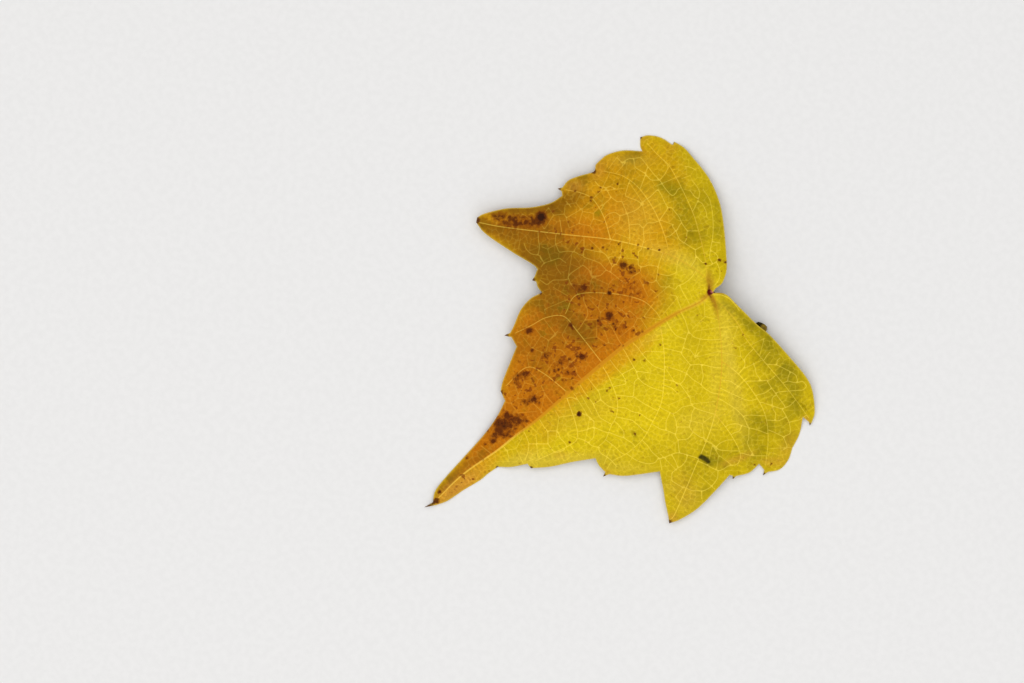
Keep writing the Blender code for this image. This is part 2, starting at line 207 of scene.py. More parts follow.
# A main rib: its course, its half width and height underneath at the start, as in the solid,
# and the half width of its line on the upper face at start and end.
MAIN_RIBS = [
    ([(-0.4, -0.3), (-2.8, -2.5), (-8.8, -5.4), (-15.4, -9.4), (-22.1, -13.8), (-31.1, -21.2),
      (-42.9, -31.5), (-48.9, -36.0), (-53.1, -39.4), (-57.0, -42.1), (-60.5, -44.5),
      (-64.0, -47.4), (-66.8, -50.2), (-69.3, -52.7)],
     0.75, 0.9, 0.66, 0.08),
    ([(-0.3, 0.0), (-0.9, 2.5), (-3.4, 5.1), (-9.2, 8.6), (-15.5, 10.8), (-25.1, 13.1),
      (-36.6, 14.4), (-51.6, 16.2), (-58.0, 17.4)],
     0.65, 0.75, 0.12, 0.07),
    ([(0.0, -0.4), (1.3, -4.3), (2.2, -10.3), (2.6, -17.3), (2.1, -24.3), (0.1, -33.8),
      (-4.3, -44.7), (-8.8, -55.2), (-10.2, -57.0)],
     0.65, 0.75, 0.12, 0.07),
]
# A side rib: its course, its half width and height underneath at the start.
SIDE_RIBS = [
    # upper basal lobe
    ([(-10.3, 9.2), (-11.7, 14.3), (-14.2, 20.4), (-17.8, 25.8), (-21.9, 29.0), (-26.8, 30.3)],
     0.5, 0.5),
    ([(-1.0, 2.7), (-1.6, 8.5), (-3.1, 15.0), (-4.6, 20.0), (-7.8, 27.0), (-10.5, 31.8),
      (-13.0, 34.2), (-16.0, 37.4)],
     0.5, 0.5),
    ([(-25.1, 13.1), (-26.9, 19.0), (-29.5, 23.2), (-32.5, 24.8), (-36.2, 25.6)],
     0.45, 0.4),
    # upper half of the middle lobe
    ([(-12.1, -7.4), (-14.2, -4.6), (-17.8, -1.9), (-25.0, -0.4), (-33.5, -0.7), (-36.4, -5.4)],
     0.45, 0.4),
    ([(-27.0, -17.8), (-33.2, -10.1), (-36.8, -6.1), (-41.2, -6.4), (-45.0, -8.4),
      (-49.0, -10.3)],
     0.45, 0.4),
    ([(-35.6, -25.2), (-41.9, -20.3), (-46.2, -18.9), (-51.2, -23.4)],
     0.45, 0.35),
    # lower half of the middle lobe
    ([(-12.3, -8.6), (-12.1, -12.5), (-11.7, -18.0), (-12.3, -27.0), (-15.0, -33.3),
      (-17.2, -37.0), (-20.9, -40.3), (-24.6, -42.3), (-26.0, -44.3)],
     0.5, 0.45),
    ([(-27.0, -18.5), (-25.4, -21.6), (-23.5, -26.8), (-23.6, -30.8), (-24.9, -33.4),
      (-26.4, -37.0), (-28.2, -38.7)],
     0.45, 0.4),
    ([(-36.2, -26.0), (-34.0, -32.3), (-33.4, -36.5), (-35.6, -38.5), (-40.0, -40.5),
      (-43.8, -42.2)],
     0.45, 0.35),
    # lower side lobe and outer basal lobe
    ([(1.0, -30.4), (4.9, -35.5), (7.4, -40.5), (6.6, -43.6)],
     0.45, 0.35),
    ([(2.6, -17.3), (6.9, -20.6), (10.8, -25.4), (13.6, -30.7), (14.4, -36.6), (13.8, -43.4)],
     0.5, 0.45),
    ([(0.6, -0.9), (3.0, -3.8), (6.3, -7.5), (8.9, -12.0), (13.3, -17.4), (18.0, -22.8),
      (21.6, -27.4), (24.6, -31.6)],
     0.5, 0.5),
]

# Half width and height underneath at the end of every rib, and a side rib's line above.
RIB_END_WIDTH = 0.3
RIB_END_HEIGHT = 0.15
SIDE_LINE = (0.08, 0.04)

# Heights that the blade passes through; where it touches the surface they lie below zero.
CONTACT = -0.5
BLADE_HEIGHTS = [
    ((0.0, 0.0), 8.2),
    ((-8.8, -5.4), 7.4), ((-22.1, -13.8), 5.6), ((-36.0, -26.0), 3.4), ((-50.0, -37.5), 1.0),
    ((-63.5, -47.5), CONTACT), ((-69.5, -52.8), 1.1),
    ((-9.2, 8.6), 7.2), ((-25.1, 13.1), 5.0), ((-42.0, 15.0), 3.4), ((-58.0, 17.5), 3.2),
    ((-43.0, 3.0), 3.6), ((-50.0, -10.5), 3.3), ((-52.0, -24.0), 2.6), ((-30.0, 2.0), 4.6),
    ((2.4, -12.0), 7.2), ((2.1, -24.3), 5.4), ((-3.0, -41.0), 3.1), ((-10.0, -57.0), 1.6),
    ((-13.0, -44.0), 2.2), ((-28.0, -41.0), 2.4), ((-46.0, -42.5), 1.6),
    ((3.8, 8.0), 5.8), ((2.2, 22.0), 3.2), ((-5.5, 34.5), 0.8), ((-15.0, 35.6), CONTACT),
    ((-28.0, 31.0), 1.7), ((-37.0, 25.5), 2.8), ((-12.0, 22.0), 3.6),
    ((12.0, -9.0), 5.4), ((22.0, -19.5), 3.2), ((25.5, -30.0), 1.3), ((20.2, -37.5), CONTACT),
    ((13.0, -42.5), 0.9), ((12.0, -26.0), 3.6),
]

# The petiole's centre and radius, from its joint to its cut end.
PETIOLE_COURSE = [
    ((-0.45, 0.0, 8.35), 0.55), ((-0.2, -0.2, 7.5), 0.8), ((0.9, -1.4, 5.5), 0.85),
    ((3.0, -4.2, 3.3), 0.78), ((5.6, -7.2, 2.0), 0.74), ((8.4, -9.0, 1.5), 0.72),
    ((10.3, -9.1, 1.45), 0.72), ((11.2, -8.75, 1.45), 0.76), ((11.8, -8.6, 1.5), 1.2),
    ((12.4, -8.9, 1.7), 1.34), ((13.0, -9.3, 2.05), 1.34), ((13.3, -9.5, 2.3), 1.2),
]

# Its rounded top, as rises and shares of its radius.
STALK_TOP = [(-0.24, 0.2), (-0.21, 0.5), (-0.14, 0.76), (-0.06, 0.93)]
STALK_STEP = 0.35
STALK_ROUNDNESS = 6
STALK_WELD = 0.002
STALK_SMOOTHING = math.radians(40)
# Its cut end, as insets and rises of rings in the flat cap.
CUT_REACH = 0.2
SIDE_FACE_CORNERS = 4
CUT_RINGS = [(0.22, 0.0), (0.1, -0.12), (0.28, 0.08)]
# The ridges along its side, which sway a little.
RIDGE_COUNT = 7
RIDGE_DEPTH = 0.035
RIDGE_SWAY = 0.8
RIDGE_SWAY_RATE = 0.21
SIDE_SHARE = 0.8

# Where a painted pink highlight shows on the petiole's top beside the notch.
KNOB_GLEAM = (0.3, 0.2)
KNOB_GLEAM_REACH = 0.62
KNOB_GLEAM_EDGE = 1.2
KNOB_GLEAM_FLOOR = 7.5

# Courses of the finer veins, each a run of x, y in quarter millimetres.
FINE_VEINS = [
    # beside the notch
    (711, 287.5, 714.5, 285, 717.5, 281.5, 719.3, 277.5, 719.5, 272, 718, 266),
    (711.5, 294.8, 715, 295, 720, 294.8, 725, 296.5, 730, 299.5, 735, 305, 739, 311),
    # side lobe and upper left
    (538, 233, 538.5, 240, 539.5, 247),
    (524, 243, 526, 249, 531, 254, 540, 255.5),
    (555, 243, 557, 247, 559, 252.5, 568, 251, 575, 252, 580, 255),
    (566, 263, 559.5, 258, 552, 260.5, 544, 263, 541, 267),
    (540, 258, 545, 264),
    (540, 280, 547, 285, 553, 280, 565, 280),
    (584, 237, 584, 249, 583, 257, 592, 260, 600, 263, 606, 270, 613, 274, 620, 280, 626, 284,
     632, 277, 640, 272),
    (585, 249, 594, 251, 604, 253, 608, 258, 611, 265),
    (622, 242, 620, 258, 616, 264, 611, 268, 611, 272),
    (568, 277, 571, 273, 577, 269, 583, 265, 589, 270),
    (568, 277, 571, 285, 576, 290),
    (591, 276, 600, 276),
    (638, 252, 638, 266, 644, 267, 648, 265),
    (662, 255, 659, 262, 657, 273, 656, 280, 652, 283, 645, 281, 643, 286),
    (656, 280, 660, 287, 669, 287, 675, 290, 677, 286, 683, 284, 690, 279),
    (658, 274, 668, 276, 676, 273, 677, 262),
    (670, 295, 676, 296, 678, 302, 680, 307),
    (681, 290, 687, 300),
    (650, 289, 655, 293),
    (560, 220, 562, 235),
    (566, 201, 571, 207),
    # upper basal lobe
    (617, 157, 621, 161, 623, 164),
    (623, 162, 628, 158.5, 634, 158, 641, 157, 648, 166, 654, 174, 660, 180, 665, 174, 669, 167,
     665, 161, 661, 157),
    (660, 180, 665, 188, 670, 194, 673, 196, 676, 193, 678, 189),
    (648, 166, 644, 179, 640, 189),
    (635, 167, 645, 173, 651, 180),
    (657, 190, 650, 197),
    (658, 189, 662, 196, 665, 203, 668, 208, 664, 214, 659, 221),
    (668, 208, 671, 207, 675, 212, 679, 217, 682, 224, 687, 231, 698, 231),
    (687, 231, 686, 240),
    (672, 226, 676, 232, 680, 224),
    (670, 236, 678, 229),
    (679, 240, 684, 243, 690, 247, 695, 250, 702, 246),
    (695, 250, 695, 260),
    (695, 255, 702, 263),
    (659, 221, 653, 223, 647, 223, 643, 229, 639, 224),
    (643, 229, 644, 240, 641, 250),
    (595, 181, 599, 186, 606, 188, 610, 186, 616, 189),
    (601, 210, 605, 203, 609, 200),
    (610, 196, 617, 202, 622, 201, 625, 209, 628, 216, 629, 225, 630, 240),
    (604, 218, 608, 214, 615, 212, 620, 216, 626, 214, 632, 212, 638, 209, 645, 200),
    (638, 201, 633, 199, 625, 196, 627, 189, 629, 182),
    (609, 228, 614, 224, 619, 222),
    (693, 211, 696, 205, 699, 198, 700, 192, 697, 186, 692, 180),
    (690, 190, 695, 197),
    (703, 189, 707, 195, 710, 200),
    (702, 203, 706, 211, 707, 218),
    (685, 166, 691, 167, 696, 170),
    (712, 210, 713, 220, 713, 232, 712, 241, 710, 250, 709, 258),
    (713, 242, 720, 243),
    (710, 250, 716, 254, 718, 258),
    (709, 266, 716, 262),
    # upper half of the middle lobe
    (579, 329, 583, 323, 588, 315, 587, 308, 584, 302),
    (617, 307, 624, 312, 628, 318),
    (602, 320, 608, 322, 612, 328, 616, 335, 619, 341),
    (551, 349, 562, 350, 566, 356, 569, 360, 576, 368, 577, 374),
    (578, 354, 574, 360),
    (569, 362, 567, 368, 563, 369),
    (541, 385, 545, 394, 548, 398),
    (529, 400, 535, 405, 542, 412),
    (507, 424, 513, 431),
    (481, 446, 490, 453),
    (558, 331, 551, 338),
    # lower half of the middle lobe
    (681, 313, 685, 321, 688, 331, 693, 337, 700, 339, 710, 340),
    (688, 331, 685, 340, 682, 350, 681, 354, 686, 360, 690, 365, 700, 364, 712, 367, 720, 368),
    (690, 350, 695, 357, 699, 352),
    (666, 321, 671, 330, 676, 336),
    (690, 365, 686, 373, 692, 379, 700, 384, 705, 389, 712, 393),
    (686, 373, 684, 380, 680, 384),
    (664, 366, 675, 369, 686, 373),
    (664, 379, 672, 381, 680, 384, 685, 391, 690, 398, 691, 405),
    (664, 385, 672, 388, 677, 393),
    (701, 366, 703, 376, 701, 384),
    (658, 406, 665, 410, 673, 414, 678, 411, 682, 407, 691, 405, 697, 409, 703, 411, 714, 414),
    (673, 414, 676, 421, 677, 430, 675, 435, 678, 440, 679, 450, 680, 453),
    (652, 424, 660, 429, 668, 431, 675, 434),
    (666, 421, 666, 431),
    (692, 412, 691, 420, 689, 427, 693, 432, 700, 437),
    (677, 427, 689, 427),
    (678, 440, 688, 439),
    (642, 440, 648, 446, 652, 452, 660, 459, 668, 456, 675, 453, 680, 453, 688, 455, 697, 458),
    (660, 459, 662, 470),
    (627, 454, 634, 459, 640, 462, 648, 464, 655, 463, 658, 459),
    (672, 455, 676, 462, 678, 468, 682, 466, 686, 461),
    (678, 468, 672, 473),
    (672, 481, 680, 486, 688, 489),
    (663, 348, 672, 350, 680, 352),
    (634, 344, 638, 348, 642, 354, 647, 360, 653, 366, 664, 370),
    (642, 354, 646, 351, 663, 352),
    (624, 350, 630, 361, 636, 371, 638, 378, 643, 383, 650, 387, 662, 391),
    (636, 371, 650, 373),
    (638, 378, 634, 382, 634, 390, 633, 397),
    (617, 395, 634, 397, 643, 403, 650, 407, 656, 410),
    (618, 407, 626, 408, 633, 412, 640, 413, 648, 419, 653, 421),
    (617, 417, 626, 419, 632, 420, 638, 425, 643, 430),
    (617, 423, 621, 428, 624, 432, 624, 438, 632, 443),
    (608, 432, 618, 436, 624, 438),
    (606, 440, 614, 446, 620, 452, 625, 455),
    (600, 453, 607, 457, 612, 461, 617, 467),
    (577, 432, 586, 430, 594, 427, 600, 430, 608, 433),
    (594, 427, 594, 420),
    (594, 430, 594, 437, 590, 441),
    (578, 438, 586, 441, 592, 446, 600, 448),
    (572, 448, 580, 456),
    (588, 378, 594, 386, 599, 392, 601, 400, 608, 406, 617, 409),
    (601, 400, 593, 404),
    (580, 385, 585, 393, 592, 402, 597, 412, 600, 418, 611, 424),
    (610, 360, 616, 368, 622, 374, 626, 381, 626, 384, 616, 386),
    (622, 374, 628, 371),
    (571, 397, 578, 400),
    (581, 413, 590, 417, 594, 422),
    (540, 420, 544, 427, 548, 432, 548, 444, 553, 451, 556, 453, 565, 450),
    (548, 431, 558, 431, 560, 438, 565, 443),
    (524, 432, 527, 438, 529, 444, 528, 453, 525, 460),
    (529, 444, 538, 444),
    (507, 451, 509, 458),
    # lower side lobe and outer basal lobe
    (728, 425, 735, 423.5, 741, 425, 750, 428, 758, 430, 768, 434),
    (720, 399, 728, 404, 736, 409, 743, 416, 746, 422, 749, 428, 749, 440, 747, 442, 750, 449,
     754, 455),
    (743, 416, 750, 415, 765, 416),
    (734, 433, 740, 431, 741, 427),
    (720, 443, 727, 440, 733, 440),
    (707, 441, 714, 445, 719, 450, 730, 451, 741, 451),
    (742, 453, 748, 455, 754, 456, 765, 456),
    (740, 461, 737, 465, 728, 466, 724, 469, 719, 471, 712, 468, 705, 464),
    (718, 471, 718, 478, 714, 484, 710, 488, 704, 491, 692, 491),
    (702, 493, 702, 499),
    (720, 388, 730, 393, 737, 396, 743, 399, 750, 401, 757, 399),
    (722, 380, 730, 381, 736, 385, 741, 388),
    (752, 350, 747, 355, 744, 359, 745, 365, 742, 370, 738, 374),
    (775, 376, 770, 380, 760, 381, 747, 381),
    (753, 363, 755, 368, 756, 374, 760, 379),
    (765, 364, 777, 365, 785, 369, 791, 372, 796, 375),
    (777, 365, 777, 360, 780, 358),
    (764, 360, 767, 355, 770, 352),
    (788, 377, 788, 381, 783, 383),
    (778, 392, 790, 391, 804, 390, 807, 386, 803, 381, 796, 383),
    (761, 402, 770, 405, 782, 409, 790, 406, 796, 400),
    (772, 398, 773, 409, 776, 413),
    (767, 381, 771, 387, 776, 394, 782, 402, 785, 406),
    (757, 395, 765, 393),
    (782, 409, 786, 415, 789, 421, 791, 428, 791, 434, 784, 437),
    (769, 430, 776, 433, 784, 437, 787, 444, 788, 448, 782, 451),
    (791, 422, 800, 420),
    (766, 420, 779, 421),
]

# Broad soft tints: x, y, half length, half width in quarter millimetres, turn in degrees
# (0 along x, counted towards the top) and strength. "freckle" is where small brown spots are
# thicker, and "faint" where the ribs of the side lobes hardly show.
TINTS = {
    # The orange and ochre on the upper half of the middle lobe are partly the leaf's own autumn
    # colour and partly painted shade, where a second leaf lay under that half.
    "orange": [
        (505, 432, 60, 26, 42, 1.0), (550, 385, 75, 48, 42, 1.0), (590, 330, 70, 55, 35, 1.0),
        (600, 285, 62, 30, -10, 0.85), (545, 330, 50, 40, 40, 0.8), (470, 478, 30, 12, 45, 0.5),
        (490, 453, 18, 6, 42, 0.4), (606, 316, 28, 24, 20, 0.45), (575, 235, 45, 18, -10, 0.6),
        (530, 245, 42, 22, -15, 0.6), (605, 212, 44, 30, 20, 0.4), (520, 225, 45, 12, 0, 0.5),
    ],
    "gold": [
        (665, 190, 50, 60, 0, 0.4), (674, 176, 14, 14, 0, 0.3), (600, 195, 55, 38, 20, 0.75),
        (630, 232, 60, 32, -10, 0.75), (636, 284, 44, 28, 20, 0.6), (560, 215, 50, 25, 10, 0.85),
        (500, 222, 40, 20, 0, 0.9), (605, 165, 20, 14, 20, 0.5), (652, 150, 28, 14, -20, 0.35),
        (630, 165, 30, 16, 0, 0.3), (455, 490, 40, 16, 45, 0.9), (540, 440, 46, 12, 35, 0.35),
        (604, 368, 56, 14, 38, 0.85), (640, 346, 24, 15, 38, 0.4), (550, 410, 40, 12, 40, 0.5),
        (480, 462, 34, 16, 40, 0.6),
    ],
    # Ochre on the upper half is partly the leaf's own colour and partly painted shade of the
    # second leaf under it.
    "ochre": [
        (560, 204, 26, 11, 18, 0.75), (530, 209, 40, 6, 4, 0.85), (580, 190, 14, 10, 30, 0.3),
        (570, 328, 13, 11, 0, 0.7), (470, 466, 40, 9, 40, 0.55), (445, 490, 22, 8, 50, 0.6),
        (548, 264, 38, 24, -25, 0.95), (575, 252, 26, 15, -20, 0.55),
        (518, 242, 34, 11, -28, 0.5), (582, 332, 20, 12, -45, 0.75), (558, 312, 16, 14, 0, 0.5),
        (584, 288, 32, 15, 0, 0.55), (614, 303, 12, 9, 0, 0.35), (497, 230, 26, 9, -22, 0.6),
        (482, 224, 12, 7, -20, 0.7), (545, 298, 22, 14, 20, 0.5), (568, 305, 50, 45, 0, 0.4),
        (515, 212, 36, 7, 2, 0.5), (530, 345, 26, 22, 30, 0.45), (545, 370, 40, 18, 45, 0.3),
        (530, 231, 32, 9, -6, 0.75), (558, 224, 28, 13, -12, 0.5), (576, 206, 26, 14, 10, 0.3),
        (650, 152, 26, 16, 0, 0.34), (618, 170, 26, 16, 20, 0.34), (738, 471, 16, 8, 0, 0.25),
        (576, 181, 20, 9, 15, 0.45),
    ],
    "scorch": [
        (499, 217, 10, 6, 0, 0.82), (513, 221, 12, 7.5, 0, 0.92), (530, 222, 12, 7, 0, 0.88),
        (541, 218, 7, 8, 0, 1.0), (503, 425, 15, 10, 40, 1.0), (516, 421, 12, 6, 20, 0.85),
        (494, 438, 8, 5, 45, 0.7), (508, 434, 8, 5, 20, 0.7), (623, 265, 5, 5, 0, 0.9),
        (632, 271, 5, 5, -30, 0.65), (609, 316, 5, 5, 0, 0.9), (616, 327, 13, 8, -30, 0.45),
        (580, 288, 14, 6, 0, 0.66), (582, 357, 7, 4, 0, 0.65), (563, 364, 13, 8, 0, 0.4),
        (546, 356, 7, 4, 0, 0.7), (524, 375, 9, 6, 20, 0.7), (534, 399, 6, 6, 0, 0.8),
        (526, 402, 5, 5, 0, 0.6), (529, 331, 5, 5, 0, 0.75), (516, 381, 5, 9, 20, 0.55),
        (630, 290, 14, 12, 0, 0.45), (598, 323, 8, 8, 0, 0.5), (570, 374, 10, 8, 0, 0.32),
    ],
    "freckle": [
        (560, 362, 44, 28, 30, 1.0), (615, 322, 34, 22, -10, 1.0), (632, 280, 26, 26, 0, 1.0),
        (570, 298, 34, 18, 0, 0.6), (585, 345, 26, 16, 30, 0.6), (585, 300, 34, 22, 0, 0.7),
        (515, 392, 24, 36, -30, 0.7), (600, 248, 50, 14, -8, 0.6), (560, 235, 40, 20, 0, 0.5),
        (500, 430, 36, 16, 45, 0.6), (590, 395, 40, 16, 10, 0.5), (625, 405, 30, 16, 0, 0.35),
        (455, 488, 26, 8, 45, 0.7), (560, 428, 40, 18, 0, 0.3), (755, 345, 26, 14, -40, 0.4),
        (600, 205, 50, 30, 0, 0.3), (690, 210, 26, 40, 0, 0.1), (722, 262, 6, 12, 0, 0.7),
        (480, 476, 20, 8, 40, 0.5), (560, 470, 60, 8, 0, 0.3),
    ],
    # Dark red where the petiole meets the blade: partly its own red and partly painted shade of
    # the pit.
    "joint": [
        (708.3, 292.3, 2.2, 3.4, 0, 1.0), (708.3, 287, 1.6, 4.5, 0, 0.5),
        (710, 296.5, 1.6, 3, 20, 0.5),
    ],
    "haze": [
        (708, 282, 2.5, 8, 0, 0.6), (711.5, 283, 2.6, 6, -12, 0.5), (709, 275, 3, 7, 0, 0.35),
        (710, 288, 2.6, 3, 0, 0.6), (711, 298, 2.8, 4.5, 25, 0.75),
        (714, 304, 3.2, 6.5, 25, 0.55), (716, 312, 3.0, 8, 12, 0.35),
        (720, 292.5, 7, 1.5, 0, 0.55), (703, 297, 5, 2.2, 27, 0.5),
    ],
    "rust": [
        (738, 459, 18, 4, 20, 0.5), (775, 462, 16, 5, 0, 0.4), (672, 519, 8, 6, 60, 0.6),
        (806, 424, 5, 7, 0, 0.9), (684, 492, 14, 22, 20, 0.25), (640, 137, 8, 5, 0, 0.4),
        (598, 170, 8, 10, 0, 0.45), (574, 186, 10, 6, 0, 0.4), (560, 455, 8, 4, 0, 0.3),
        (605, 473, 8, 4, 0, 0.4), (458, 488, 32, 9, 38, 0.8), (675, 145, 6, 6, 0, 0.3),
        (790, 448, 10, 18, -30, 0.3), (583, 415, 40, 16, 20, 0.18),
    ],
    "green": [
        (625, 185, 30, 22, 0, 0.3), (640, 160, 26, 14, 0, 0.3), (690, 215, 24, 46, 10, 0.25),
        (597, 205, 14, 12, 0, 0.35), (670, 281, 14, 10, 0, 0.5), (548, 256, 18, 11, -20, 0.4),
        (482, 226, 9, 7, 0, 0.55), (560, 246, 14, 8, -10, 0.4), (560, 305, 14, 10, 0, 0.4),
        (780, 425, 34, 40, 0, 0.25), (768, 366, 36, 10, -42, 0.3), (745, 455, 40, 16, 0, 0.35),
        (694, 488, 20, 18, 50, 0.4), (724, 450, 20, 20, 0, 0.3), (684, 220, 14, 22, -20, 0.36),
        (672, 186, 16, 18, 20, 0.4), (697, 236, 12, 10, 30, 0.25), (717, 222, 6, 22, 0, 0.55),
        (756, 331, 30, 7, -42, 0.7), (770, 350, 14, 9, -42, 0.5), (785, 373, 12, 14, -40, 1.0),
        (772, 356, 30, 10, -45, 0.25), (796, 388, 12, 12, -40, 0.6),
        (771, 393, 14, 10, -30, 0.35), (798, 408, 12, 10, -40, 0.6), (739, 419, 16, 8, -20, 0.5),
        (756, 417, 16, 9, -20, 0.5), (736, 313, 24, 6, -42, 0.35), (724, 294, 12, 2, -5, 0.35),
        (700, 180, 14, 30, 25, 0.4), (704, 205, 12, 20, 0, 0.35), (660, 254, 12, 8, 20, 0.05),
        (746, 436, 8, 14, 0, 0.3), (765, 390, 12, 10, 0, 0.4), (690, 350, 20, 34, 10, 0.12),
        (697, 400, 16, 40, 5, 0.12), (630, 447, 40, 16, 0, 0.28), (600, 330, 10, 8, 0, 0.1),
        (700, 474, 26, 34, 0, 0.18), (765, 430, 26, 22, 0, 0.3), (790, 440, 20, 16, 0, 0.2),
        (675, 160, 20, 14, 0, 0.25), (640, 180, 22, 14, 0, 0.2), (708, 461, 6, 5, -30, 0.75),
        (731, 308, 14, 5, -42, 0.25),
    ],
    "bright": [
        (660, 420, 60, 40, 0, 0.4), (610, 440, 70, 26, 5, 0.4), (540, 450, 50, 16, 20, 0.4),
        (735, 400, 24, 50, 10, 0.4), (640, 265, 50, 18, -20, 0.4), (722, 330, 10, 30, 20, 0.5),
        (700, 285, 34, 22, -20, 0.5), (655, 345, 40, 24, 35, 0.6), (640, 395, 50, 34, 20, 0.5),
        (680, 380, 34, 40, 0, 0.3), (690, 262, 30, 14, -30, 0.5), (715, 360, 14, 50, 0, 0.45),
        (600, 430, 50, 22, 10, 0.35), (730, 380, 16, 30, 0, 0.3),
    ],
    "pale": [
        (735, 395, 9, 44, 12, 0.5), (728, 352, 7, 26, 10, 0.5), (700, 420, 30, 14, 20, 0.3),
        (655, 335, 26, 4, 35, 0.3), (668, 255, 30, 8, -20, 0.4), (640, 215, 22, 26, -20, 0.25),
        (560, 462, 50, 9, 5, 0.6), (520, 462, 26, 9, 20, 0.6), (480, 487, 34, 7, 35, 0.5),
        (620, 470, 36, 8, 0, 0.35), (655, 488, 26, 6, 0, 0.3), (690, 268, 26, 10, -35, 0.35),
        (630, 160, 26, 6, 0, 0.3), (452, 495, 14, 6, 45, 0.4), (716, 378, 8, 40, 0, 0.35),
        (724, 320, 12, 24, 20, 0.35), (690, 505, 20, 12, 60, 0.2),
    ],
    "faint": [
        (719, 350, 11, 66, 0, 1.0), (688, 272, 34, 10, -42, 1.0),
    ],
}

# How steeply a tint falls off at its rim.
TINT_STEEPNESS = 1.5

